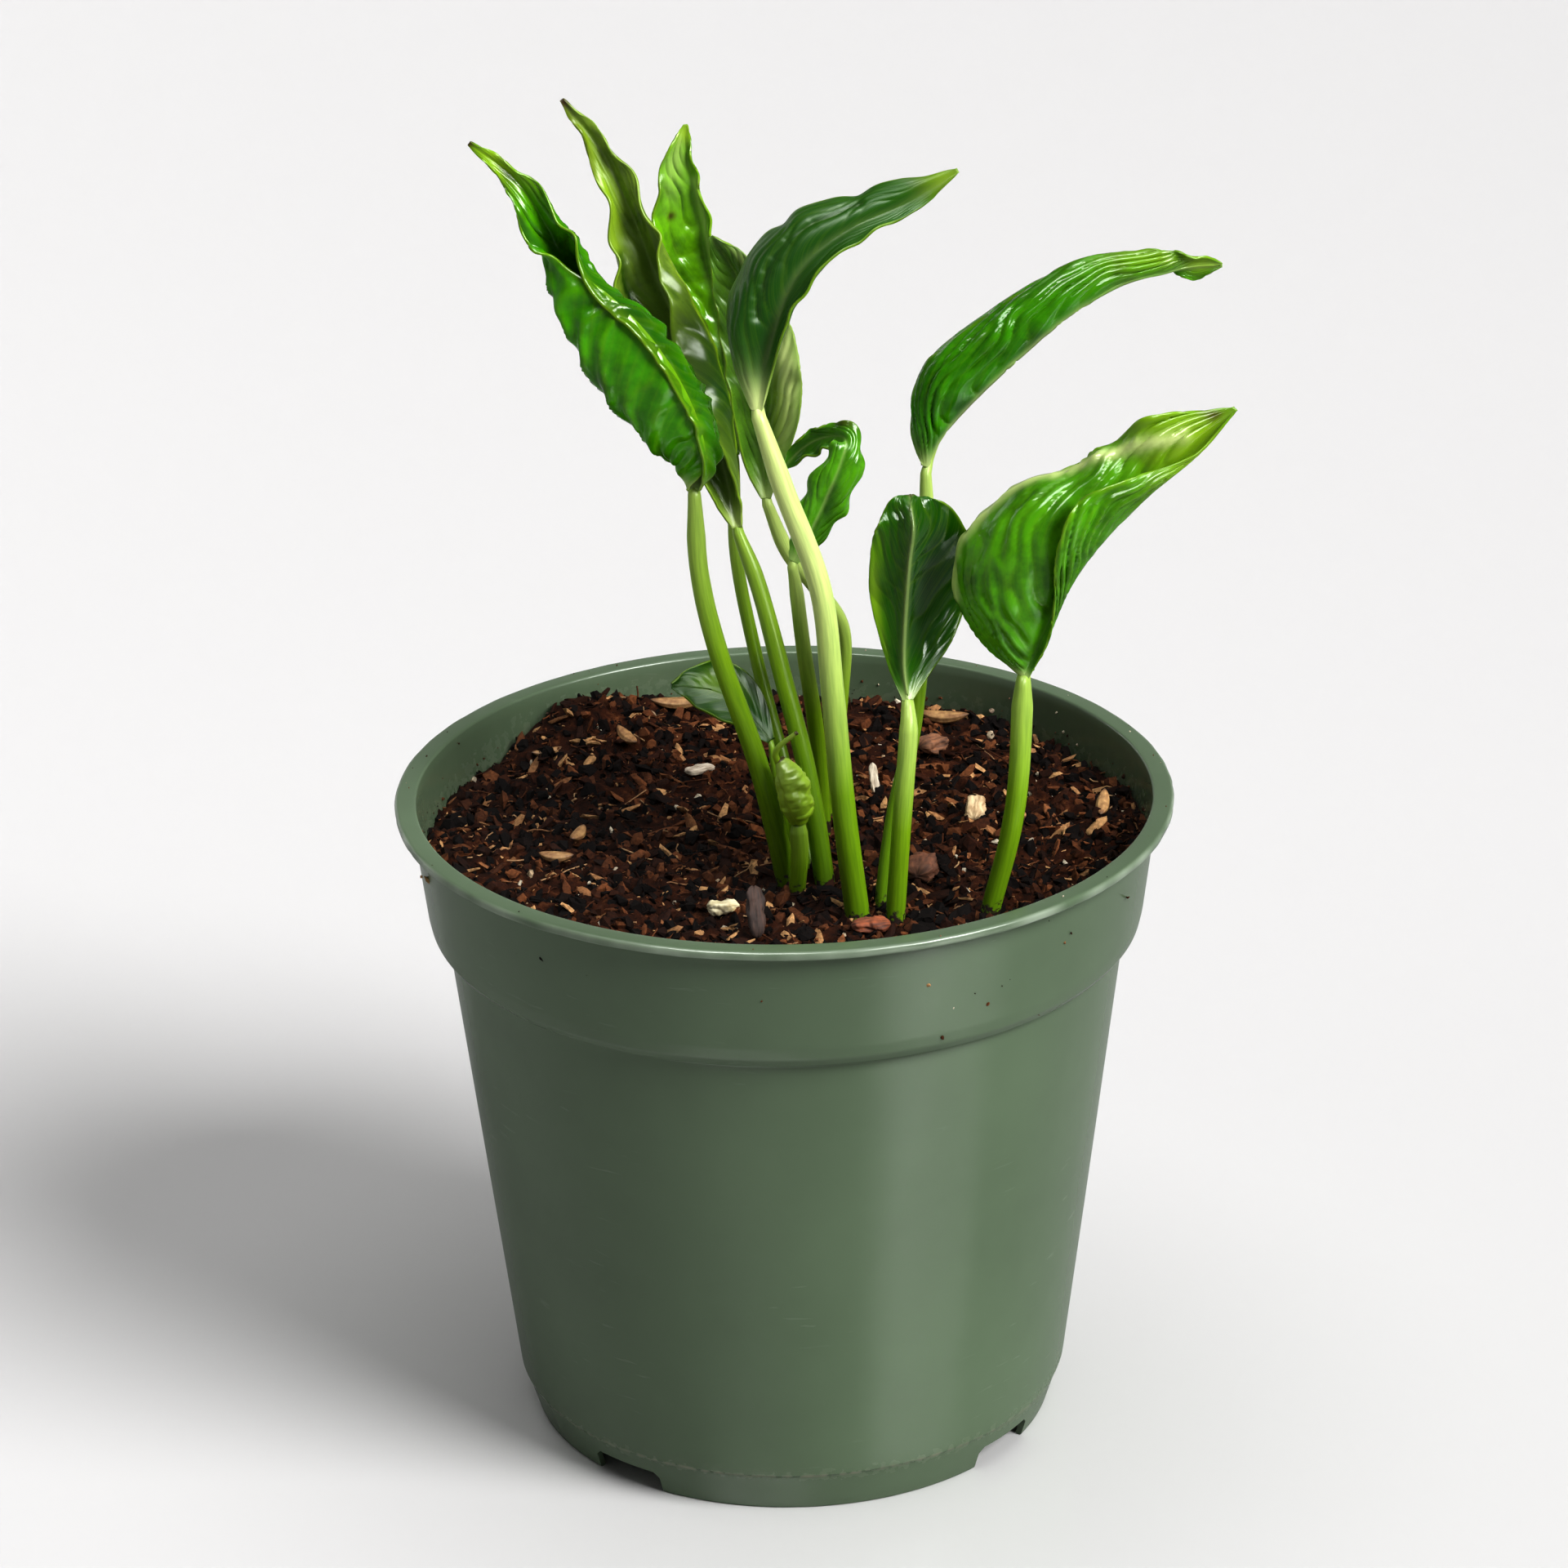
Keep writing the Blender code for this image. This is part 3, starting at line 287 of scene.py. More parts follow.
# Marks on a blade: (kind, place along it from 0 to 1, place across it from -1 to 1, reach along,
# reach across, amount).
MARKS = {
    "leaf_rolled_left": (
        ("lime", 0.93, 0.0, 0.10, 2.0, 0.9),
        ("dry", 1.0, 0.0, 0.012, 2.0, 1.0),
        ("dark", 0.45, 0.9, 0.30, 0.35, 0.8),
        ("pale", 0.02, 0.0, 0.05, 2.0, 0.55),
    ),
    "leaf_tall_left": (
        # The dark patches low on the blade and on its right half are painted shade, which makes its
        # base near black.
        ("dark", 0.26, 0.0, 0.22, 1.5, 0.9),
        ("lime", 0.86, -0.8, 0.16, 0.5, 0.9),
        ("dry", 0.995, 0.0, 0.02, 2.0, 1.0),
        ("dark", 0.35, 0.6, 0.25, 0.6, 1.0),
        ("dark", 0.60, 0.1, 0.10, 0.3, 0.5),
        ("pale", 0.02, 0.0, 0.05, 2.0, 0.4),
    ),
    "leaf_arching": (
        ("dark", 0.45, 0.0, 0.40, 2.0, 0.6),
        ("lime", 0.97, 0.0, 0.06, 2.0, 0.8),
        ("pale", 0.0, 0.0, 0.10, 2.0, 0.9),
    ),
    "leaf_bright_back": (
        ("lime", 0.97, 0.0, 0.06, 2.0, 0.9),
        ("dry", 0.66, -0.55, 0.012, 0.10, 0.9),
        ("pale", 0.84, -0.5, 0.12, 0.4, 0.35),
    ),
    "leaf_far_right": (
        ("lime", 0.92, -0.4, 0.10, 1.2, 0.8),
        ("lime", 0.72, -0.7, 0.12, 0.5, 0.6),
        ("pale", 0.0, 0.0, 0.06, 2.0, 0.8),
        ("dark", 0.10, 0.7, 0.12, 0.6, 0.9),
    ),
    "leaf_broad_right": (
        ("lime", 0.90, 0.0, 0.12, 2.0, 0.85),
        ("dry", 0.965, -0.6, 0.015, 0.3, 0.8),
        ("pale", 0.0, 0.0, 0.05, 2.0, 0.6),
    ),
    "leaf_upright": (
        # The large dark patch on the right half is painted shade, on the half that turns back.
        ("dark", 0.55, 0.4, 0.50, 0.9, 0.9),
        ("dark", 0.70, -0.5, 0.30, 0.5, 0.5),
        ("lime", 0.35, -0.92, 0.18, 0.16, 0.6),
        ("pale", 0.0, 0.0, 0.05, 2.0, 0.5),
        ("dry", 1.0, 0.0, 0.03, 2.0, 0.8),
    ),
    "leaf_crinkled": (
        ("pale", 0.0, 0.0, 0.06, 2.0, 0.5),
        ("dark", 0.85, 0.0, 0.25, 2.0, 0.8),
        ("dry", 0.60, 0.9, 0.03, 0.2, 0.7),
    ),
    "leaf_soil": (
        ("dark", 0.30, 0.0, 0.35, 2.0, 1.0),
        ("lime", 0.60, 0.3, 0.16, 0.4, 0.35),
    ),
    "leaf_variegated": (
        ("pale", 0.55, 0.75, 0.30, 0.22, 0.9),
        ("lime", 0.35, 0.6, 0.20, 0.30, 0.6),
        ("pale", 0.0, 0.0, 0.08, 2.0, 0.5),
    ),
}

# Lines on a blade: mark, its amount, half width and rise in millimetres, (along, across) points.
LINES = {
    "leaf_rolled_left": (
        # This lime line along the right flap's raised edge is painted highlight; the ridge under it
        # is real shape.
        ("lime", 0.2, 0.8, 0.35, ((0.08, 0.94), (0.3, 0.94), (0.6, 0.96))),
    ),
    "leaf_tall_left": (
        # This lime line along the fold's crest is painted light: the bright green edge where the
        # fold catches the lamp.
        ("lime", 0.8, 0.45, 0.0, ((0.12, 0.5), (0.3, 0.5), (0.45, 0.52), (0.62, 0.6))),
        ("dry", 0.35, 0.9, 0.0, ((0.84, -1.0), (0.92, -1.0), (0.97, -1.0))),
        # This dark line along a groove is painted shade in the crease.
        ("dark", 1.0, 1.0, -0.5, ((0.48, -0.75), (0.56, -0.6), (0.66, -0.72))),
    ),
    "leaf_broad_right": (
        (
            "pale",
            0.8,
            0.9,
            0.35,
            ((0.25, -1), (0.5, -0.97), (0.62, -0.94), (0.77, -0.75), (0.9, -0.4)),
        ),
        ("lime", 0.5, 0.4, 0.1, ((0.42, 1.0), (0.6, 1.0), (0.8, 1.0))),
    ),
    "leaf_far_right": (("pale", 0.45, 0.6, 0.1, ((0.02, 0.0), (0.3, 0.0), (0.55, 0.0))),),
    # leaf_arching's dark line along its groove is painted shade in the crease.
    "leaf_arching": (("dark", 0.8, 0.7, -0.35, ((0.30, -0.25), (0.5, -0.4), (0.75, -0.5))),),
    "leaf_bright_back": (("pale", 0.5, 0.8, 0.0, ((0.45, 0.5), (0.6, 0.4), (0.75, 0.45))),),
}

# The young shoot: path, radii along it, then the rows and sides of its mesh.
SHOOT = {
    "emerging_leaf": (
        ((1.9, -20.1, 11.4), (1.7, -20.1, 14), (0.8, -19.9, 18), (-0.6, -19.6, 20.6)),
        (1.3, 2.3, 2.1, 0.7),
        90,
        48,
    ),
    "shoot_spur": (
        ((-0.7, -19.7, 19.9), (-1.1, -20.2, 21.6), (-0.3, -20.7, 23.2), (1.9, -20.9, 25.0)),
        (0.5, 0.42, 0.3),
        40,
        20,
    ),
}

# Loose pieces: azimuth, share of the soil's radius, heading, tilt, length, width, thickness.
DEBRIS = {
    "seed_hull_back_left": (110, 0.885, -4, 4, 9.0, 2.6, 1.6),
    "seed_hull_back_centre": (101, 0.87, 40, 0, 4.2, 2.4, 1.5),
    "seed_hull_left_heap": (128, 0.74, 118, 6, 6.0, 1.9, 1.3),
    "seed_hull_left_front": (196, 0.66, -22, 5, 5.4, 2.2, 1.4),
    "seed_hull_left": (183, 0.58, 70, 4, 4.6, 1.9, 1.2),
    "seed_hull_wall_left": (143, 0.86, 24, 0, 4.8, 1.6, 1.1),
    "seed_hull_back_right": (57, 0.87, -26, 6, 8.2, 2.6, 1.7),
    "seed_hull_wall_right": (4, 0.90, 80, 20, 5.4, 1.9, 1.2),
    "wood_flake_centre": (119, 0.50, 24, 0, 4.6, 2.0, 0.9),
    "wood_flake_upright": (52, 0.42, 100, 58, 4.6, 1.2, 0.8),
    "cream_chunk": (252, 0.55, 4, 0, 4.4, 2.4, 1.6),
    "pale_chunk": (11, 0.55, 84, 24, 4.4, 2.6, 1.4),
    "bark_chip_back": (52, 0.70, 40, 0, 4.8, 3.6, 2.0),
    "bark_chip_right": (-41, 0.50, 70, 12, 4.6, 4.0, 2.6),
    "bark_chip_front": (-71, 0.70, 6, 0, 5.2, 2.6, 1.6),
    "wood_sliver_dark": (-97, 0.66, 96, 58, 7.0, 2.2, 1.5),
}
DEBRIS_SIDES = 28
DEBRIS_RINGS = 33
DEBRIS_GAP = 0.35  # between a loose piece and the soil's even surface, which the crumbs fill

# The studio. The floor is (radius, height) turned about +Z, with a cove all round.
FLOOR_OUTLINE = (
    (1.0, 0.0),
    (2600.0, 0.0),
    (2900.0, 60.0),
    (3100.0, 220.0),
    (3200.0, 500.0),
    (3220.0, 1500.0),
)
# Lamps: name, azimuth, elevation, the setting that gives its strength, the share of it that the
# lamp has, its angular width, and whether only gloss shows it.
LAMPS = (
    ("key_softbox", -34, 39, "key", 1.0, 30, False),
    ("overhead_diffuser", 90, 84, "overhead", 1.0, 60, False),
    ("glint_right", -48, 27, "glint", 1.0, 30, True),
    ("glint_top", -112, 62, "glint", 1.0, 32, True),
    ("glint_low", -22, 9, "glint", 0.7, 26, True),
)
CAMERA_PLACE = (0, -663.5455, 379.9020)
CAMERA_PITCH = 0.4050  # radians below the horizon
CAMERA_ROLL = -0.0148  # radians
CAMERA_SENSOR = 36
CAMERA_FAR_END = 20  # metres
CONTRAST_GAMMA = 0.80


def linear(code):
    """Linear RGBA from an sRGB hex code."""
    channels = [int(code[i : i + 2], 16) / 255 for i in (1, 3, 5)]
    return (*(c / 12.92 if c <= 0.04045 else ((c + 0.055) / 1.055) ** 2.4 for c in channels), 1.0)


def colour_prop(label, text, code):
    """A colour setting whose default is an sRGB hex code."""
    return bpy.props.FloatVectorProperty(
        name=label, description=text, subtype="COLOR", size=4, min=0, max=1, default=linear(code)
    )


def length_prop(label, text, millimetres):
    """A length setting whose default is in millimetres."""
    return bpy.props.FloatProperty(
        name=label,
        description=text,
        subtype="DISTANCE",
        unit="LENGTH",
        precision=5,
        default=millimetres * MM,
    )


def count_prop(label, text, count, least=0):
    """A whole-number setting."""
    return bpy.props.IntProperty(name=label, description=text, default=count, min=least)


def strength_prop(label, text, strength):
    """A light's strength setting."""
    return bpy.props.FloatProperty(name=label, description=text, default=strength, min=0)


class PotLooks(bpy.types.PropertyGroup):
    colour: colour_prop("Plastic", "Colour of the moulded plastic", "#66785F")
    wear_colour: colour_prop("Worn edge", "Colour of scuffs and of the lip's worn edge", "#9DAA97")
    dust_colour: colour_prop("Dust", "Colour of the dried dirt round the foot", "#B9B2A0")
    wave: length_prop("Wall wave", "Height of the slow waves in the moulded wall", 0.05)
    segments: count_prop("Segments", "Segments round the pot", 240, 48)


class MixLooks(bpy.types.PropertyGroup):
    dark: colour_prop("Peat, dark", "Darkest colour of the potting mix", "#100704")
    brown: colour_prop("Peat, brown", "Middle colour of the potting mix", "#3C1C0A")
    bark: colour_prop("Bark", "Colour of the lightest bark crumbs", "#7E4E2E")
    pale: colour_prop("Pale bits", "Colour of the perlite and dry bits", "#D8CDB8")
    roughness: length_prop("Unevenness", "Height of the lumps in the mix's surface", 1.9)
    crumbs: count_prop("Crumbs", "Crumbs per square centimetre", 64)
    fibres: count_prop("Fibres", "Fibres per square centimetre", 8)
    seed: count_prop("Seed", "Layout of the loose bits", 4)


class PlantLooks(bpy.types.PropertyGroup):
    deep: colour_prop("Deep leaf", "Green of the old and shaded parts", "#154505")
    lime: colour_prop("Lime", "Young green and yellowed margins", "#9CC024")
    pale: colour_prop("Pale", "Midribs, stalk tops and variegation", "#E0EEA2")
    dry: colour_prop("Dry tip", "Colour of dried tips and spots", "#4A2E14")
    stalk: colour_prop("Stalk", "Main green of the stalks", "#86AE1C")
    thickness: length_prop("Blade thickness", "Thickness of a leaf blade", 0.36)
    rows: count_prop("Rows", "Rows of points along a blade", 200, 20)
    columns: count_prop("Columns", "Columns of points across a blade", 64, 8)


class StageLooks(bpy.types.PropertyGroup):
    floor: colour_prop("Floor", "Colour of the studio floor", "#DAD9D9")
    floor_bounce: colour_prop(
        "Floor bounce", "Colour that the floor throws on the plant", "#A8A8A8"
    )
    sky: colour_prop("Fill light", "Colour of the light from all round", "#FFFFFF")
    fill: strength_prop("Fill strength", "Strength of the light from all round", 0.12)
    key: strength_prop("Key strength", "Strength of the main light", 4.1)
    overhead: strength_prop("Overhead strength", "Strength of the broad light above", 1.5)
    glint: strength_prop("Glint strength", "Strength of the lights that only gloss shows", 5.0)
    lens: bpy.props.FloatProperty(
        name="Lens",
        description="Focal length of the camera, in millimetres",
        default=117.339,
        min=1,
    )


def add(tree, kind, inputs=None, **settings):
    """Adds a node. inputs maps a socket's name or number to a value or to a socket to link."""
    made = tree.nodes.new(kind)
    for name, value in settings.items():
        setattr(made, name, value)
    for key, value in (inputs or {}).items():
        if isinstance(value, bpy.types.NodeSocket):
            tree.links.new(value, made.inputs[key])
        else:
            made.inputs[key].default_value = value
    return made


def new_material(name, roughness, **constants):
    """(material, tree, shader) with constants on the shader's own sockets."""
    made = bpy.data.materials.new(name)
    made.use_nodes = True
    shader = made.node_tree.nodes["Principled BSDF"]
    shader.inputs["Roughness"].default_value = roughness
    for key, value in constants.items():
        shader.inputs[key.replace("_", " ")].default_value = value
    return made, made.node_tree, shader


def ramp(tree, factor, stops):
    """A colour ramp's output for (place, colour) stops."""
    made = add(tree, "ShaderNodeValToRGB", {"Fac": factor})
    points = made.color_ramp.elements
    while len(points) < len(stops):
        points.new(0.5)
    for point, (place, colour) in zip(points, stops):
        point.position = place
        point.color = colour
    return made.outputs["Color"]


def mixed(tree, factor, first, second, blend="MIX"):
    """The colour output of first mixed with second."""
    inputs = {0: factor, 6: first, 7: second}
    return add(tree, "ShaderNodeMix", inputs, data_type="RGBA", blend_type=blend).outputs[2]


def per_metre(millimetres):
    """A texture scale whose pattern repeats at this size, on coordinates in metres."""
    return 1.0 / (millimetres * MM)


def catmull(points, t):
    """A smooth curve through the points, at t from 0 to 1. A point is any tuple of numbers."""
    spans = len(points) - 1
    place = min(max(t, 0.0), 1.0) * spans
    i = min(int(place), spans - 1)
    u = place - i
    p1, p2 = points[i], points[i + 1]
    p0 = points[i - 1] if i else [2 * a - b for a, b in zip(p1, p2)]
    p3 = points[i + 2] if i + 2 <= spans else [2 * b - a for a, b in zip(p1, p2)]
    return [
        0.5
        * (
            2 * b
            + (c - a) * u
            + (2 * a - 5 * b + 4 * c - d) * u**2
            + (3 * b - a - 3 * c + d) * u**3
        )
        for a, b, c, d in zip(p0, p1, p2, p3)
    ]


def wall_profile(inset):
    """The pot's outer wall from foot to rim, moved in by inset, as (radius, height) pairs."""
    band = RIM_RADIUS - LIP_WIDTH
    top_radius, top_height = band - BAND_TAPER - SHOULDER_STEP, POT_HEIGHT - BAND_HEIGHT
    outline = [
        (BASE_RADIUS, FOOT_HEIGHT, 0),
        (top_radius, top_height, 1),
        (top_radius + 0.45 * SHOULDER_STEP, top_height + 0.12 * SHOULDER_HEIGHT, 1),
        (top_radius + 0.85 * SHOULDER_STEP, top_height + 0.50 * SHOULDER_HEIGHT, 1),
        (top_radius + SHOULDER_STEP, top_height + SHOULDER_HEIGHT, 1),
        (band, POT_HEIGHT - LIP_THICKNESS, 0),
    ]
    return [(radius - inset, height + lift * inset) for radius, height, lift in outline]


def inner_radius(height):
    """Radius of the pot's inner wall at a height."""
    profile = wall_profile(WALL)
    for (r0, z0), (r1, z1) in zip(profile, profile[1:]):
        if z0 <= height <= z1:
            return r0 + (r1 - r0) * (height - z0) / (z1 - z0)
    return profile[0][0] if height < profile[0][1] else profile[-1][0]


def soil_height(x, y):
    """Height of the potting mix at (x, y): its level, plus the mounds and hollows."""
    height = SOIL_LEVEL
    reach = inner_radius(SOIL_LEVEL) - 0.4
    for azimuth, share, rise, spread in MOUNDS:
        dx = x - share * reach * math.cos(math.radians(azimuth))
        dy = y - share * reach * math.sin(math.radians(azimuth))
        height += rise * math.exp(-(dx * dx + dy * dy) / (2 * spread * spread))
    return height


def lumps(x, y, size, depth=3):
    """Fractal noise of about -1 to 1 over the mix, with lumps of this size in millimetres."""
    return noise.fractal(Vector((x / size, y / size, 0.37)), 0.9, 2.1, depth)


def mix_height(x, y, roughness):
    """Height of the mix's broken surface, with a loose heap against the back of the wall."""
    heap_x, heap_y, spread, rise = HEAP
    away = math.hypot(x - heap_x, y - heap_y) / spread
    heap = rise * math.exp(-away * away)
    broken = 0.55 * lumps(x, y, 5.0) + 0.45 * lumps(x, y, 1.6, 2)
    return soil_height(x, y) + heap + roughness * broken


def finish(obj, slot, *nodes):
    """Puts a finished piece on the plant's one body, in place of its solids."""
    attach(obj, "root")
    if nodes:
        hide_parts(*nodes)
    return obj


def new_object(name, mesh, material):
    """An object at the origin for a mesh in metres."""
    mesh.materials.clear()
    mesh.materials.append(material)
    obj = bpy.data.objects.new(name, mesh)
    bpy.context.scene.collection.objects.link(obj)
    return obj


def mesh_of(name, points, faces):
    """A smooth mesh from points in millimetres."""
    mesh = bpy.data.meshes.new(name)
    mesh.from_pydata((np.asarray(points, float) * MM).tolist(), [], faces)
    mesh.validate()
    mesh.shade_smooth()
    return mesh


def store(mesh, name, kind, values):
    """Stores one value per vertex under a name."""
    made = mesh.attributes.new(name, kind, "POINT")
    field = "color" if kind == "FLOAT_COLOR" else "value"
    made.data.foreach_set(field, np.asarray(values, np.float32).ravel())


def store_uv(mesh, values):
    """A UV map from one (u, v) per vertex."""
    corners = np.empty(len(mesh.loops), np.int32)
    mesh.loops.foreach_get("vertex_index", corners)
    layer = mesh.uv_layers.new(name="surface")
    layer.data.foreach_set("uv", np.asarray(values, np.float32)[corners].ravel())


def ring_faces(rings, sides, cap=True):
    """Quads between rings of vertices numbered ring by ring, with a cap on each end."""
    faces = []
    for i in range(rings - 1):
        for j in range(sides):
            k = (j + 1) % sides
            faces.append((i * sides + j, i * sides + k, (i + 1) * sides + k, (i + 1) * sides + j))
    if cap:
        faces.append(tuple(reversed(range(sides))))
        faces.append(tuple((rings - 1) * sides + j for j in range(sides)))
    return faces


def turned(outline, segments):
    """(points, faces) of an outline of (radius, height) turned about +Z."""
    angles = [2 * math.pi * j / segments for j in range(segments)]
    points = [(r * math.cos(a), r * math.sin(a), z) for r, z in outline for a in angles]
    return points, ring_faces(len(outline), segments)


def rounded(outline, radius, steps=4):
    """An outline with each corner turned into a short arc."""
    made = [outline[0]]
    for before, corner, after in zip(outline, outline[1:], outline[2:]):
        corner, ends = Vector(corner), []
        for other in (before, after):
            way = Vector(other) - corner
            ends.append(corner + way.normalized() * min(radius, 0.45 * way.length))
        for i in range(steps + 1):
            t = i / steps
            point = ends[0] * (1 - t) ** 2 + corner * 2 * t * (1 - t) + ends[1] * t**2
            made.append(tuple(point))
    return [*made, outline[-1]]


def divided(outline, longest):
    """An outline with no step longer than this."""
    made = [outline[0]]
    for (r0, z0), (r1, z1) in zip(outline, outline[1:]):
        count = max(1, math.ceil(math.hypot(r1 - r0, z1 - z0) / longest))
        made += [
            (r0 + (r1 - r0) * i / count, z0 + (z1 - z0) * i / count) for i in range(1, count + 1)
        ]
    return made


def tube_rings(points, radii, sides, groove=None):
    """Rings of points round a path. groove is (angle, depth, width) of a channel along it."""
    rings = []
    across = Vector((1, 0, 0))
    for i, point in enumerate(points):
        ahead = points[min(i + 1, len(points) - 1)] - points[max(i - 1, 0)]
        ahead.normalize()
        across = (across - across.dot(ahead) * ahead).normalized()
        up = ahead.cross(across)
        for k in range(sides):
            angle = 2 * math.pi * k / sides
            radius = radii[i]
            if groove:
                off = math.remainder(angle - groove[0], 2 * math.pi) / groove[2]
                radius *= 1 - groove[1] * math.exp(-off * off)
            rings.append(point + (across * math.cos(angle) + up * math.sin(angle)) * radius)
    return rings


# ---------------------------------------------------------------- pot


def polypropylene():
    """Injection-moulded polypropylene: satin, with fine scuffs and a chalky worn lip."""
    looks = bpy.context.scene.pot_looks
    made, tree, shader = new_material(
        "polypropylene_moulded_green", 0.3, IOR=1.49, Specular_IOR_Level=0.5
    )
    place = add(tree, "ShaderNodeTexCoord").outputs["Object"]
    cloud = add(
        tree, "ShaderNodeTexNoise", {"Vector": place, "Scale": per_metre(30), "Detail": 4.0}
    )
    shade = ramp(
        tree,
        cloud.outputs["Fac"],
        ((0.3, (0.9, 0.9, 0.9, 1)), (0.7, (1.06, 1.06, 1.06, 1))),
    )
    base = mixed(tree, 1.0, looks.colour, shade, "MULTIPLY")
    # Scuffs are hair-fine lines 0.1 to 0.3 mm wide, drawn near 0.4 mm so that they show.
    lean = add(
        tree,
        "ShaderNodeMapping",
        {"Vector": place, "Rotation": (0.5, 0.3, 0.2), "Scale": (0.15, 0.15, 1.0)},
    )
    scuff = add(
        tree,
        "ShaderNodeTexNoise",
        {"Vector": lean.outputs[0], "Scale": per_metre(0.9), "Detail": 2.0, "Distortion": 0.4},
    )
    where = add(
        tree, "ShaderNodeTexNoise", {"Vector": place, "Scale": per_metre(22), "Detail": 1.0}
    )
    fine = add(
        tree,
        "ShaderNodeMapRange",
        {"Value": scuff.outputs["Fac"], "From Min": 0.66, "From Max": 0.74, "To Max": 0.16},
    )
    patch = add(
        tree,
        "ShaderNodeMapRange",
        {"Value": where.outputs["Fac"], "From Min": 0.56, "From Max": 0.66},
    )
    scuffed = add(
        tree, "ShaderNodeMath", {0: fine.outputs[0], 1: patch.outputs[0]}, operation="MULTIPLY"
    )
    base = mixed(tree, scuffed.outputs[0], base, looks.wear_colour)
    wear = add(tree, "ShaderNodeAttribute", attribute_name="wear").outputs["Fac"]
    base = mixed(tree, wear, base, looks.wear_colour)
    dust = add(tree, "ShaderNodeAttribute", attribute_name="dust").outputs["Fac"]
    grit = add(
        tree, "ShaderNodeTexNoise", {"Vector": place, "Scale": per_metre(1.3), "Detail": 3.0}
    )
    gritty = add(
        tree,
        "ShaderNodeMapRange",
        {"Value": grit.outputs["Fac"], "From Min": 0.42, "From Max": 0.62},
    )
    dusty = add(tree, "ShaderNodeMath", {0: dust, 1: gritty.outputs[0]}, operation="MULTIPLY")
    base = mixed(tree, dusty.outputs[0], base, looks.dust_colour)
    tree.links.new(base, shader.inputs["Base Color"])
    satin = add(
        tree,
        "ShaderNodeMapRange",
        {"Value": cloud.outputs["Fac"], "To Min": 0.2, "To Max": 0.3},
    )
    rough = add(
        tree,
        "ShaderNodeMath",
        {0: satin.outputs[0], 1: dusty.outputs[0]},
        operation="ADD",
        use_clamp=True,
    )
    tree.links.new(rough.outputs[0], shader.inputs["Roughness"])
    orange_peel = add(
        tree, "ShaderNodeTexNoise", {"Vector": place, "Scale": per_metre(1.1), "Detail": 3.0}
    )
    bump = add(
        tree,
        "ShaderNodeBump",
        {"Height": orange_peel.outputs["Fac"], "Strength": 0.12, "Distance": 0.03 * MM},
    )
    tree.links.new(bump.outputs[0], shader.inputs["Normal"])
    return made


def cutter(name, bm):
    """A hidden helper that a Boolean takes away."""
    bmesh.ops.recalc_face_normals(bm, faces=bm.faces)
    mesh = bpy.data.meshes.new(name)
    bm.to_mesh(mesh)
    bm.free()
    obj = bpy.data.objects.new(name, mesh)
    bpy.context.scene.collection.objects.link(obj)
    return obj


def foot_cutters():
    """Blocks for the notches in the foot, and rods for the drain holes."""
    made = []
    half = BASE_RADIUS * math.sin(math.radians(NOTCH_DEGREES / 2))
    for k in range(NOTCH_COUNT):
        azimuth = math.radians(NOTCH_FIRST + 360 * k / NOTCH_COUNT)
        out = Vector((math.cos(azimuth), math.sin(azimuth), 0))
        side = Vector((-out.y, out.x, 0))
        corner = 0.25 * NOTCH_HEIGHT
        outline = (
            (-half, -1),
            (half, -1),
            (half, NOTCH_HEIGHT - corner),
            (half - corner, NOTCH_HEIGHT),
            (corner - half, NOTCH_HEIGHT),
            (-half, NOTCH_HEIGHT - corner),
        )
        bm = bmesh.new()
        rings = []
        inner = BASE_RADIUS - FOOT_TAPER - WALL - NOTCH_REACH
        for reach in (inner, BASE_RADIUS + NOTCH_REACH):
            spots = [out * reach + side * s + Vector((0, 0, z)) for s, z in outline]
            rings.append([bm.verts.new(spot * MM) for spot in spots])
        for i in range(len(outline)):
            j = (i + 1) % len(outline)
            bm.faces.new((rings[0][i], rings[0][j], rings[1][j], rings[1][i]))
        bm.faces.new(rings[0])
        bm.faces.new(rings[1])
        made.append(cutter(f"cut_notch_{k}", bm))
        bm = bmesh.new()
        bmesh.ops.create_cone(
            bm,
            cap_ends=True,
            segments=40,
            radius1=DRAIN_RADIUS * MM,
            radius2=DRAIN_RADIUS * MM,
            depth=DRAIN_CUT_DEPTH * MM,
        )
        centre = out * (BASE_RADIUS - DRAIN_INSET) + Vector((0, 0, FLOOR_CLEARANCE))
        bmesh.ops.translate(bm, verts=bm.verts, vec=centre * MM)
        made.append(cutter(f"cut_drain_{k}", bm))
    return made


def without(obj, cutters):
    """Takes the cutters out of obj and leaves a plain mesh."""
    for helper in cutters:
        modifier = obj.modifiers.new(helper.name, "BOOLEAN")
        modifier.operation = "DIFFERENCE"
        modifier.solver = "EXACT"
        modifier.object = helper
    made_plain(obj)
    for helper in cutters:
        bpy.data.objects.remove(helper, do_unlink=True)


def made_plain(obj):
    """Turns obj's evaluated shape into its own plain mesh, with no modifier left."""
    bpy.context.view_layer.update()
    graph = bpy.context.evaluated_depsgraph_get()
    mesh = bpy.data.meshes.new_from_object(obj.evaluated_get(graph), depsgraph=graph)
    obj.modifiers.clear()
    obj.data = mesh
    mesh.name = obj.name


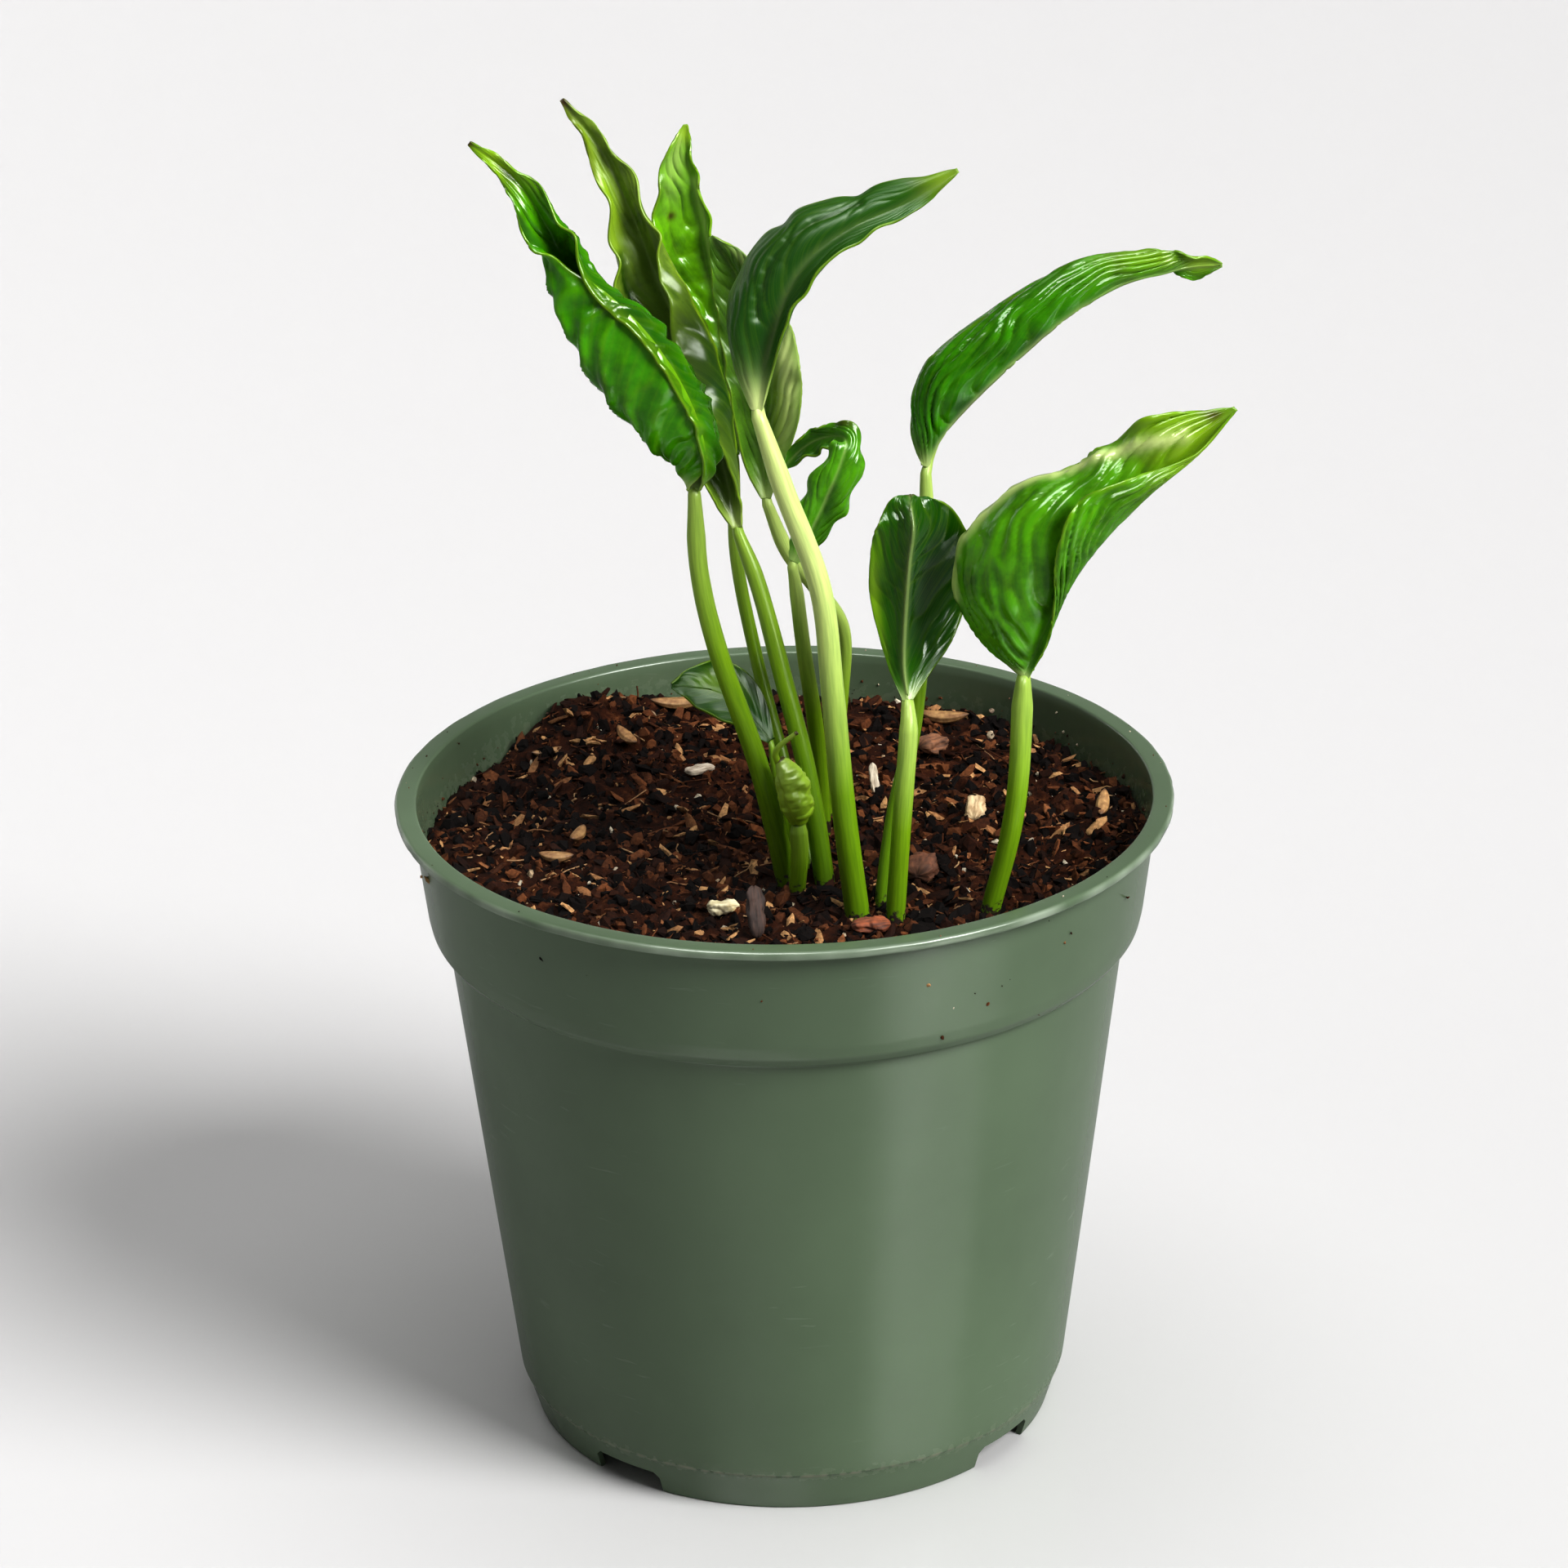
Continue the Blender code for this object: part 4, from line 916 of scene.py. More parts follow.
def pot_outline():
    """The pot's section as (radius, height): the pad, the foot, up the wall and down inside."""
    band = RIM_RADIUS - LIP_WIDTH
    foot = BASE_RADIUS - FOOT_TAPER
    wall = [
        (foot - WALL + 1.32, FLOOR_CLEARANCE),
        (foot - WALL, 0),
        (foot, 0),
        (BASE_RADIUS - FOOT_STEP, FOOT_HEIGHT - 0.2),
        *wall_profile(0),
        (RIM_RADIUS - 0.1, POT_HEIGHT - LIP_THICKNESS),
        (RIM_RADIUS, POT_HEIGHT - CORNER_RADIUS),
        (RIM_RADIUS - CORNER_RADIUS, POT_HEIGHT),
        (band - WALL + 0.3, POT_HEIGHT),
        *reversed(wall_profile(WALL)),
        (BASE_RADIUS - WALL - 1.0, FLOOR_CLEARANCE + FLOOR_THICKNESS),
    ]
    pad = [(CENTRE_PAD_RADIUS, 0), (CENTRE_PAD_RADIUS, FLOOR_CLEARANCE)]
    return [*pad, *divided(rounded(wall, CORNER_RADIUS), 1.5)]


def uneven_wall(points, wave_height):
    """The pot's points with the slow waves of its wall, and small nicks in its lip."""
    lip_bottom = POT_HEIGHT - LIP_THICKNESS
    moved = []
    for x, y, z in points:
        r, a = math.hypot(x, y), math.atan2(y, x)
        turn = Vector((math.cos(a) * 3.0, math.sin(a) * 3.0, z * 0.012))
        wave = wave_height * noise.noise(turn * 2.2)
        if z > lip_bottom - 0.3 and r > RIM_RADIUS - LIP_WIDTH:
            nick = noise.noise(Vector((x * 0.9, y * 0.9, 3.0)))
            wave += 0.10 * noise.noise(Vector((x * 0.25, y * 0.25, 9.0)))
            wave -= 0.16 * max(0, nick - 0.25)
        grow = 1 + wave / r if FOOT_HEIGHT < z and r > 30 else 1
        moved.append((x * grow, y * grow, z))
    return moved


def store_wear(mesh):
    """Stores where the lip is worn, and where dirt lies: above the foot and above the soil."""
    wear, dust = [], []
    for vertex in mesh.vertices:
        x, y, z = vertex.co / MM
        r = math.hypot(x, y)
        rub = 0.55 + 0.9 * noise.noise(Vector((x * 0.22, y * 0.22, 1.0)))
        on_lip = z > POT_HEIGHT - LIP_THICKNESS - 0.2
        edge = max(0.0, 1 - abs(r - RIM_RADIUS) / 0.45) if on_lip else 0.0
        wear.append(min(1.0, max(0.0, 0.95 * edge * rub)))
        outside = r > BASE_RADIUS - FOOT_TAPER
        line = math.exp(-(((z - FOOT_HEIGHT + 0.1) / 0.28) ** 2)) if outside else 0.0
        inside = r < inner_radius(z) + 0.5 and z > SOIL_LEVEL - 4
        splash = math.exp(-max(0.0, z - soil_height(x, y)) / 2.2) if inside else 0.0
        dust.append(0.55 * line + 0.10 * splash)
    store(mesh, "wear", "FLOAT", wear)
    store(mesh, "dust", "FLOAT", dust)


class POTHOS_OT_pot(bpy.types.Operator):
    """Make the moulded nursery pot with its lip, shoulder, foot notches and drain holes"""

    bl_idname = "pothos.make_pot"
    bl_label = "Nursery pot"

    def execute(self, context):
        looks = context.scene.pot_looks
        points, faces = turned(pot_outline(), looks.segments)
        moved = uneven_wall(points, looks.wave / MM)
        obj = new_object("nursery_pot", mesh_of("nursery_pot", moved, faces), polypropylene())
        without(obj, foot_cutters())
        store_wear(obj.data)
        obj.data.set_sharp_from_angle(angle=math.radians(38))
        finish(obj, "pot", "pot")
        return {"FINISHED"}


# ---------------------------------------------------------------- potting mix


def peat():
    """Damp peat with composted bark: near black in the hollows, red-brown fibres, no gloss."""
    looks = bpy.context.scene.mix_looks
    made, tree, shader = new_material("peat_and_bark_mix", 0.92, Specular_IOR_Level=0.1)
    place = add(tree, "ShaderNodeTexCoord").outputs["Object"]
    # Crumbs of 1 to 3 mm.
    clods = add(
        tree,
        "ShaderNodeTexNoise",
        {"Vector": place, "Scale": per_metre(2.6), "Detail": 6.0, "Roughness": 0.65},
    )
    tone = ramp(
        tree,
        clods.outputs["Fac"],
        ((0.32, looks.dark), (0.56, looks.brown), (0.78, looks.bark)),
    )
    tree.links.new(tone, shader.inputs["Base Color"])
    grain = add(
        tree,
        "ShaderNodeTexNoise",
        {"Vector": place, "Scale": per_metre(0.7), "Detail": 5.0, "Roughness": 0.7},
    )
    bump = add(
        tree,
        "ShaderNodeBump",
        {"Height": grain.outputs["Fac"], "Strength": 0.9, "Distance": 0.35 * MM},
    )
    tree.links.new(bump.outputs[0], shader.inputs["Normal"])
    return made


def crumbly(name, stops, roughness=0.85):
    """Dry organic bits: each has its own tone from the stops, with a mottled, pitted surface."""
    made, tree, shader = new_material(name, roughness, Specular_IOR_Level=0.12)
    place = add(tree, "ShaderNodeTexCoord").outputs["Object"]
    tone = add(tree, "ShaderNodeAttribute", attribute_name="tone").outputs["Fac"]
    own = ramp(tree, tone, stops)
    # The bits are pitted every half millimetre.
    mottle = add(
        tree,
        "ShaderNodeTexNoise",
        {"Vector": place, "Scale": per_metre(0.5), "Detail": 3.0},
    )
    shade = ramp(
        tree, mottle.outputs["Fac"], ((0.3, (0.55, 0.55, 0.55, 1)), (0.7, (1.2, 1.2, 1.2, 1)))
    )
    tree.links.new(mixed(tree, 1.0, own, shade, "MULTIPLY"), shader.inputs["Base Color"])
    bump = add(
        tree,
        "ShaderNodeBump",
        {"Height": mottle.outputs["Fac"], "Strength": 0.6, "Distance": 0.12 * MM},
    )
    tree.links.new(bump.outputs[0], shader.inputs["Normal"])
    return made


def inputs_of(tree, sizes):
    """Declares a tree's named inputs and returns its input node and each socket's identifier."""
    tree.interface.new_socket("Geometry", in_out="INPUT", socket_type="NodeSocketGeometry")
    tree.interface.new_socket("Geometry", in_out="OUTPUT", socket_type="NodeSocketGeometry")
    kinds = {int: "NodeSocketInt", float: "NodeSocketFloat", tuple: "NodeSocketVector"}
    names = {}
    for name, value in sizes.items():
        made = tree.interface.new_socket(name, in_out="INPUT", socket_type=kinds[type(value)])
        names[name] = made.identifier
    return tree.nodes.new("NodeGroupInput").outputs, names


def scattered_points(tree, given):
    """Random points over the surface, each with its own tone, size and turn."""
    points = add(
        tree,
        "GeometryNodeDistributePointsOnFaces",
        {"Mesh": given["Geometry"], "Density": given["Density"], "Seed": given["Seed"]},
    ).outputs["Points"]
    chance = add(tree, "FunctionNodeRandomValue", {"Seed": given["Seed"]}, data_type="FLOAT")
    points = add(
        tree,
        "GeometryNodeStoreNamedAttribute",
        {"Geometry": points, "Name": "tone", "Value": chance.outputs[1]},
        data_type="FLOAT",
        domain="POINT",
    ).outputs[0]
    later = add(tree, "ShaderNodeMath", {0: given["Seed"], 1: 7.0}, operation="ADD").outputs[0]
    dice = add(tree, "FunctionNodeRandomValue", {"Seed": later}, data_type="FLOAT").outputs[1]
    # Most bits are small: the size grows with the cube of an even draw.
    cube = add(tree, "ShaderNodeMath", {0: dice, 1: 3.0}, operation="POWER").outputs[0]
    size = add(
        tree,
        "ShaderNodeMapRange",
        {"Value": cube, "To Min": given["Smallest"], "To Max": given["Largest"]},
    ).outputs[0]
    scale = add(
        tree,
        "ShaderNodeVectorMath",
        {0: given["Stretch"], "Scale": size},
        operation="SCALE",
    ).outputs[0]
    turn = add(
        tree,
        "FunctionNodeRandomValue",
        {0: (-1.0, -1.0, -1.0), 1: (1.0, 1.0, 1.0), "Seed": given["Seed"]},
        data_type="FLOAT_VECTOR",
    ).outputs[0]
    turned_by = add(
        tree, "ShaderNodeVectorMath", {0: turn, 1: given["Tumble"]}, operation="MULTIPLY"
    ).outputs[0]
    return points, scale, turned_by


def broken_up(tree, geometry, given):
    """Pushes each point by noise, so that no two bits have one shape."""
    place = add(tree, "GeometryNodeInputPosition").outputs[0]
    wobble = add(
        tree, "ShaderNodeTexNoise", {"Vector": place, "Scale": given["Break scale"], "Detail": 1.0}
    ).outputs["Color"]
    centred = add(
        tree, "ShaderNodeVectorMath", {0: wobble, 1: (0.5, 0.5, 0.5)}, operation="SUBTRACT"
    ).outputs[0]
    offset = add(
        tree, "ShaderNodeVectorMath", {0: centred, "Scale": given["Break"]}, operation="SCALE"
    ).outputs[0]
    return add(tree, "GeometryNodeSetPosition", {"Geometry": geometry, "Offset": offset}).outputs[0]


def end_tree(tree, geometry, material):
    """Sets the material last and ends the tree."""
    done = add(tree, "GeometryNodeSetMaterial", {"Geometry": geometry, "Material": material})
    add(tree, "NodeGroupOutput", {0: done.outputs[0]})


def placed_bits(tree, given, bit):
    """The bit on every scattered point, made real and broken up."""
    points, scale, turn = scattered_points(tree, given)
    placed = add(
        tree,
        "GeometryNodeInstanceOnPoints",
        {"Points": points, "Instance": bit, "Rotation": turn, "Scale": scale},
    ).outputs[0]
    solid = add(tree, "GeometryNodeRealizeInstances", {0: placed}).outputs[0]
    return broken_up(tree, solid, given)


def crumb_tree(sizes, material):
    """Scatters crumbs, flakes or chips over a surface."""
    tree = bpy.data.node_groups.new("scatter_crumbs", "GeometryNodeTree")
    given, names = inputs_of(tree, sizes)
    crumb = add(tree, "GeometryNodeMeshIcoSphere", {"Radius": 0.5, "Subdivisions": 1}).outputs[0]
    end_tree(tree, placed_bits(tree, given, crumb), material)
    return tree, names


def fibre_tree(sizes, material):
    """Scatters thin bent fibres, which taper to one end, over a surface."""
    tree = bpy.data.node_groups.new("scatter_fibres", "GeometryNodeTree")
    given, names = inputs_of(tree, sizes)
    line = add(tree, "GeometryNodeCurvePrimitiveLine", {0: (-0.5, 0, 0), 1: (0.5, 0, 0)}).outputs[0]
    line = add(tree, "GeometryNodeResampleCurve", {0: line, "Count": 6}).outputs[0]
    bent = placed_bits(tree, given, line)
    along = add(tree, "GeometryNodeSplineParameter").outputs["Factor"]
    taper = add(tree, "ShaderNodeMath", {0: along, 1: -0.6, 2: 1.0}, operation="MULTIPLY_ADD")
    thin = add(tree, "GeometryNodeSetCurveRadius", {0: bent, "Radius": taper.outputs[0]}).outputs[0]
    ring = add(
        tree, "GeometryNodeCurvePrimitiveCircle", {"Resolution": 4, "Radius": FIBRE_RADIUS * MM}
    )
    skin = add(tree, "GeometryNodeCurveToMesh", {0: thin, 1: ring.outputs[0], "Fill Caps": True})
    end_tree(tree, skin.outputs[0], material)
    return tree, names


def scatter(name, surface, make_tree, sizes, material, slot):
    """One plain-mesh piece of bits scattered over a surface's mesh."""
    obj = bpy.data.objects.new(name, surface.copy())
    bpy.context.scene.collection.objects.link(obj)
    tree, names = make_tree(sizes, material)
    modifier = obj.modifiers.new("scatter", "NODES")
    modifier.node_group = tree
    for key, value in sizes.items():
        modifier[names[key]] = value
    made_plain(obj)
    if not obj.data.polygons:
        raise RuntimeError(f"{name} came out empty")
    return finish(obj, slot)


def bits(density, smallest, largest, stretch, tumble, broken, seed):
    """A scatter tree's inputs, from bits per square centimetre and sizes in millimetres."""
    return {
        "Density": density * 1e4,
        "Smallest": smallest * MM,
        "Largest": largest * MM,
        "Stretch": stretch,
        "Tumble": tumble,
        "Break": broken * MM,
        "Break scale": per_metre(0.9),
        "Seed": seed,
    }


class POTHOS_OT_mix(bpy.types.Operator):
    """Make the potting mix: its body, crumbs, flakes, fibres and pale bits"""

    bl_idname = "pothos.make_mix"
    bl_label = "Potting mix"

    def execute(self, context):
        looks = context.scene.mix_looks
        rough = looks.roughness / MM
        wall = [(r, z) for r, z in wall_profile(WALL + MIX_CLEARANCE) if z < SOIL_LEVEL - 2.0]
        floor = FLOOR_CLEARANCE + FLOOR_THICKNESS + MIX_CLEARANCE
        outline = [(BASE_RADIUS - WALL - 1.5, floor), *wall]
        points, _ = turned(outline, MIX_SEGMENTS)
        edge = inner_radius(SOIL_LEVEL) - MIX_CLEARANCE
        for step in range(MIX_RINGS, 0, -1):
            for j in range(MIX_SEGMENTS):
                angle = 2 * math.pi * j / MIX_SEGMENTS
                r = edge * step / MIX_RINGS
                x, y = r * math.cos(angle), r * math.sin(angle)
                points.append((x, y, mix_height(x, y, rough)))
        rings = len(outline) + MIX_RINGS
        mesh = mesh_of("potting_mix", points, ring_faces(rings, MIX_SEGMENTS))
        finish(new_object("potting_mix", mesh, peat()), "soil", "soil")
        on_top = points[len(outline) * MIX_SEGMENTS :]
        top = bpy.data.meshes.new("mix_top")
        faces = ring_faces(MIX_RINGS, MIX_SEGMENTS, cap=False)
        top.from_pydata((np.asarray(on_top) * MM).tolist(), [], faces)
        dark, brown, bark, light = looks.dark, looks.brown, looks.bark, looks.pale
        anyhow, lying, flat = (3.1, 3.1, 3.1), (0.8, 0.8, 3.1), (0.35, 0.35, 3.14)
        # Piece, tree, what bits() takes up to its seed, material, its tones, its roughness.
        layers = (
            (
                "mix_crumbs",
                crumb_tree,
                (looks.crumbs, 0.3, 3.4, (1, 0.75, 0.5), anyhow, 1.9),
                "peat_crumbs",
                ((0.0, dark), (0.5, dark), (0.75, brown), (1.0, bark)),
                0.85,
            ),
            (
                "mix_flakes",
                crumb_tree,
                (26, 0.7, 6.0, (1.0, 0.32, 0.14), lying, 0.9),
                "composted_bark_flakes",
                ((0.0, dark), (0.35, brown), (0.68, bark), (0.9, linear("#C49A6C"))),
                0.8,
            ),
            (
                "mix_fibres",
                fibre_tree,
                (looks.fibres, 1.5, 9.0, (1.0, 1.0, 1.0), flat, 1.3),
                "peat_fibres",
                ((0.0, dark), (0.45, brown), (0.8, bark), (1.0, linear("#C2A078"))),
                0.8,
            ),
            (
                "mix_pale_bits",
                crumb_tree,
                (1.6, 0.5, 2.4, (1, 0.6, 0.4), anyhow, 0.7),
                "perlite_and_dry_bits",
                ((0.0, linear("#A98D6C")), (0.5, light), (1.0, light)),
                0.9,
            ),
        )
        for n, (name, tree, sizes, material, tones, roughness) in enumerate(layers):
            made = crumbly(material, tones, roughness)
            scatter(name, top, tree, bits(*sizes, looks.seed + n), made, "soil")
        return {"FINISHED"}


# ---------------------------------------------------------------- loose hulls and chips


def husk():
    """Dry rice-like hull: straw coloured, ribbed lengthwise, darker at its ends."""
    made, tree, shader = new_material("dry_seed_hull", 0.62)
    tone = add(tree, "ShaderNodeAttribute", attribute_name="tone").outputs["Fac"]
    place = add(tree, "ShaderNodeTexCoord").outputs["Object"]
    fleck = add(
        tree, "ShaderNodeTexNoise", {"Vector": place, "Scale": per_metre(0.8), "Detail": 4.0}
    )
    both = add(
        tree,
        "ShaderNodeMath",
        {0: tone, 1: fleck.outputs["Fac"], 2: -0.05},
        operation="MULTIPLY_ADD",
    )
    colour = ramp(
        tree,
        both.outputs[0],
        ((0.0, linear("#3E2616")), (0.35, linear("#946A3E")), (0.85, linear("#D0A870"))),
    )
    tree.links.new(colour, shader.inputs["Base Color"])
    bump = add(
        tree,
        "ShaderNodeBump",
        {"Height": fleck.outputs["Fac"], "Strength": 0.5, "Distance": 0.1 * MM},
    )
    tree.links.new(bump.outputs[0], shader.inputs["Normal"])
    return made


def chip_wood(name, light, dark):
    """A torn chip: fibrous along its length, matt, darker in its cracks."""
    made, tree, shader = new_material(name, 0.8)
    grain = add(tree, "ShaderNodeUVMap", uv_map="surface").outputs[0]
    stretched = add(tree, "ShaderNodeMapping", {"Vector": grain, "Scale": (2.0, 16.0, 1.0)})
    fibres = add(
        tree, "ShaderNodeTexNoise", {"Vector": stretched.outputs[0], "Scale": 1.0, "Detail": 5.0}
    )
    colour = ramp(tree, fibres.outputs["Fac"], ((0.32, linear(dark)), (0.62, linear(light))))
    tree.links.new(colour, shader.inputs["Base Color"])
    bump = add(
        tree,
        "ShaderNodeBump",
        {"Height": fibres.outputs["Fac"], "Strength": 0.7, "Distance": 0.15 * MM},
    )
    tree.links.new(bump.outputs[0], shader.inputs["Normal"])
    return made


# Each chip's light and dark wood.
CHIP_COLOURS = {
    "wood_flake_centre": ("#D9CDBB", "#8E7A64"),
    "wood_flake_upright": ("#E2D6C2", "#A08C72"),
    "cream_chunk": ("#EFE6C4", "#B9A878"),
    "pale_chunk": ("#E6CFA8", "#A07C52"),
    "bark_chip_back": ("#9A6A48", "#4A2C1C"),
    "bark_chip_right": ("#8E5C40", "#4E2E1E"),
    "bark_chip_front": ("#A65A30", "#5A2E18"),
    "wood_sliver_dark": ("#54392C", "#241712"),
}


class POTHOS_OT_specks(bpy.types.Operator):
    """Scatter the specks of mix that stick to the pot's wall and lip"""

    bl_idname = "pothos.make_specks"
    bl_label = "Specks on the pot"

    def execute(self, context):
        looks = context.scene.mix_looks
        tones = ((0.0, looks.dark), (0.6, looks.bark), (1.0, looks.pale))
        stuck = crumbly("stuck_peat_specks", tones)
        level, lip = SOIL_LEVEL + 1.0, POT_HEIGHT - LIP_THICKNESS
        inside = [(inner_radius(z) - 0.05, z) for z in (level, level + 2.2, POT_HEIGHT - 0.6)]
        band = RIM_RADIUS - LIP_WIDTH
        outside = [(r, z) for r, z in wall_profile(-0.02) if z > POT_HEIGHT - BAND_HEIGHT]
        on_lip = [(RIM_RADIUS - 1.9, POT_HEIGHT), (RIM_RADIUS - 0.5, POT_HEIGHT)]
        # Piece, strip of wall as (radius, height), first and last azimuth, specks per square
        # centimetre, largest speck in millimetres.
        places = (
            ("specks_low_inside", inside[:2], 0, 360, 16.0, 1.3),
            ("specks_inside", inside[1:], 0, 360, 2.6, 0.8),
            ("specks_lip", on_lip, 0, 360, 5.0, 0.5),
            ("specks_band", outside, -66, -44, 3.0, 0.9),
            ("specks_wall", [(band, lip), (band, lip - 5.0)], -90, 20, 0.8, 0.6),
        )
        for n, (name, outline, first, last, density, largest) in enumerate(places):
            count = max(4, round((last - first) / 3))
            angles = [math.radians(first + (last - first) * j / count) for j in range(count + 1)]
            rows = [[(r * math.cos(a), r * math.sin(a), z) for a in angles] for r, z in outline]
            across = count + 1
            faces = [
                (i * across + j, i * across + j + 1, (i + 1) * across + j + 1, (i + 1) * across + j)
                for i in range(len(rows) - 1)
                for j in range(count)
            ]
            strip = mesh_of(name, sum(rows, []), faces)
            seed = looks.seed + 11 + n
            sizes = bits(density, 0.2, largest, (1, 0.8, 0.6), (3.1, 3.1, 3.1), 0.3, seed)
            scatter(name, strip, crumb_tree, sizes, stuck, "soil")
        return {"FINISHED"}


def hull_spot(along, angle, size, shift):
    """(run, over, lift) on a ribbed, slightly bent hull whose ends are pointed."""
    length, width, thickness = size
    fat = max(0.02, 1 - abs(along) ** 2.2) ** 0.75
    rib = 1 + 0.07 * math.cos(7 * angle) * fat
    side, up = math.cos(angle) * rib, math.sin(angle) * rib
    bent = 0.10 * length * along * along
    return along * length / 2, side * fat * width / 2, up * fat * thickness / 2 + bent


def chip_spot(along, angle, size, shift):
    """(run, over, lift) on a blocky chip with torn faces, shift picking the noise."""
    length, width, thickness = size
    fat = max(0.06, 1 - abs(along) ** 5) ** 0.5
    side, up = math.cos(angle), math.sin(angle)
    square = max(abs(side), abs(up))
    spot = Vector((along * 1.6, side * 1.4, up * 1.4)) + shift
    torn = 1 + 0.35 * noise.fractal(spot, 0.8, 2.1, 4)
    side, up = side / square**0.7 * torn, up / square**0.7 * torn
    end = along * (1 + 0.10 * noise.noise(spot * 1.7))
    bent = 0.05 * length * noise.noise(Vector((along, 0, 0)) + shift)
    return end * length / 2, side * fat * width / 2, up * fat * thickness / 2 + bent


class POTHOS_OT_loose(bpy.types.Operator):
    """Make the seed hulls, wood flakes and bark chips lying on the mix"""

    bl_idname = "pothos.make_loose"
    bl_label = "Hulls and chips"

    def execute(self, context):
        straw = husk()
        for name, (azimuth, share, heading, tilt, *size) in DEBRIS.items():
            hull = name.startswith("seed_hull")
            draw = random.Random(name)
            shift = Vector((draw.uniform(0, 50), draw.uniform(0, 50), 0))
            reach = share * (inner_radius(SOIL_LEVEL) - 0.4)
            x = reach * math.cos(math.radians(azimuth))
            y = reach * math.sin(math.radians(azimuth))
            turn, pitch = math.radians(heading), math.radians(tilt)
            points, tones, uvs = [], [], []
            for i in range(DEBRIS_RINGS):
                along = -1 + 2 * i / (DEBRIS_RINGS - 1)
                for k in range(DEBRIS_SIDES):
                    angle = 2 * math.pi * k / DEBRIS_SIDES
                    spot = (hull_spot if hull else chip_spot)(along, angle, size, shift)
                    run, over, lift = spot
                    flat = run * math.cos(pitch) - lift * math.sin(pitch)
                    rise = run * math.sin(pitch) + lift * math.cos(pitch)
                    points.append(
                        (
                            x + flat * math.cos(turn) - over * math.sin(turn),
                            y + flat * math.sin(turn) + over * math.cos(turn),
                            rise,
                        )
                    )
                    tones.append(0.9 * (1 - abs(along) ** 4) + 0.1 * math.cos(7 * angle) + 0.25)
                    uvs.append((along * 0.5 + 0.5, k / DEBRIS_SIDES))
            drop = max(soil_height(px, py) - pz for px, py, pz in points)
            placed = [(px, py, pz + drop + DEBRIS_GAP) for px, py, pz in points]
            mesh = mesh_of(name, placed, ring_faces(DEBRIS_RINGS, DEBRIS_SIDES))
            store(mesh, "tone", "FLOAT", tones)
            store_uv(mesh, uvs)
            material = straw if hull else chip_wood(f"torn_{name}", *CHIP_COLOURS[name])
            obj = new_object(name + "_detailed", mesh, material)
            finish(obj, "bark" if "bark" in name or "dark" in name else "hull", name)
        return {"FINISHED"}


# ---------------------------------------------------------------- stalks


def stalk_skin():
    """A fleshy leaf stalk: waxy green, paler towards the blade, gritty at the soil."""
    looks = bpy.context.scene.plant_looks
    made, tree, shader = new_material("pothos_stalk_skin", 0.3, IOR=1.42, Specular_IOR_Level=0.3)
    marks = add(tree, "ShaderNodeAttribute", attribute_name="marks")
    parts = add(tree, "ShaderNodeSeparateColor", {0: marks.outputs["Color"]})
    surface = add(tree, "ShaderNodeUVMap", uv_map="surface").outputs[0]
    # Fibres run the length of the stalk, about 0.3 mm apart.
    long_grain = add(tree, "ShaderNodeMapping", {"Vector": surface, "Scale": (26.0, 1.6, 1.0)})
    streak = add(
        tree, "ShaderNodeTexNoise", {"Vector": long_grain.outputs[0], "Scale": 1.0, "Detail": 3.0}
    )
    shade = ramp(
        tree, streak.outputs["Fac"], ((0.3, (0.82, 0.86, 0.8, 1)), (0.7, (1.15, 1.12, 1.1, 1)))
    )
    base = mixed(tree, parts.outputs[2], looks.stalk, linear("#4F7808"))
    base = mixed(tree, parts.outputs[1], base, looks.lime)
    base = mixed(tree, parts.outputs[0], base, looks.pale)
    base = mixed(tree, 1.0, base, shade, "MULTIPLY")
    place = add(tree, "ShaderNodeTexCoord").outputs["Object"]
    # Flecks of potting mix of about half a millimetre stick to the skin near the soil.
    fleck = add(
        tree, "ShaderNodeTexNoise", {"Vector": place, "Scale": per_metre(0.9), "Detail": 3.0}
    )
    near = add(
        tree,
        "ShaderNodeMath",
        {0: marks.outputs["Alpha"], 1: fleck.outputs["Fac"]},
        operation="MULTIPLY",
    )
    stuck = add(
        tree,
        "ShaderNodeMapRange",
        {"Value": near.outputs[0], "From Min": 0.36, "From Max": 0.44},
    )
    base = mixed(tree, stuck.outputs[0], base, linear("#2C1A10"))
    tree.links.new(base, shader.inputs["Base Color"])
    rough = add(
        tree, "ShaderNodeMapRange", {"Value": stuck.outputs[0], "To Min": 0.3, "To Max": 0.9}
    )
    tree.links.new(rough.outputs[0], shader.inputs["Roughness"])
    bump = add(
        tree,
        "ShaderNodeBump",
        {"Height": streak.outputs["Fac"], "Strength": 0.35, "Distance": 0.1 * MM},
    )
    tree.links.new(bump.outputs[0], shader.inputs["Normal"])
    return made


# Where each stalk turns pale below its blade, how pale, its lime share, and its groove's angle.
STALK_TONES = {
    "stalk_rolled_left": (0.95, 0.35, 0.25, 0.6),
    "stalk_tall_left": (0.95, 0.2, 0.15, 0.2),
    "stalk_arching": (0.62, 0.85, 0.25, 0.5),
    "stalk_bright_back": (0.9, 0.3, 0.2, 0.0),
    "stalk_far_right": (0.85, 0.45, 0.3, 0.4),
    "stalk_broad_right": (0.9, 0.3, 0.2, -0.9),
    "stalk_upright": (0.8, 0.4, 0.35, 0.7),
    "stalk_crinkled": (0.8, 0.5, 0.3, 0.3),
    "stalk_soil_leaf": (0.9, 0.1, 0.1, 0.0),
    "stalk_variegated": (0.7, 0.6, 0.6, 0.0),
    "shoot_sheath": (0.8, 0.1, 0.3, 0.9),
}


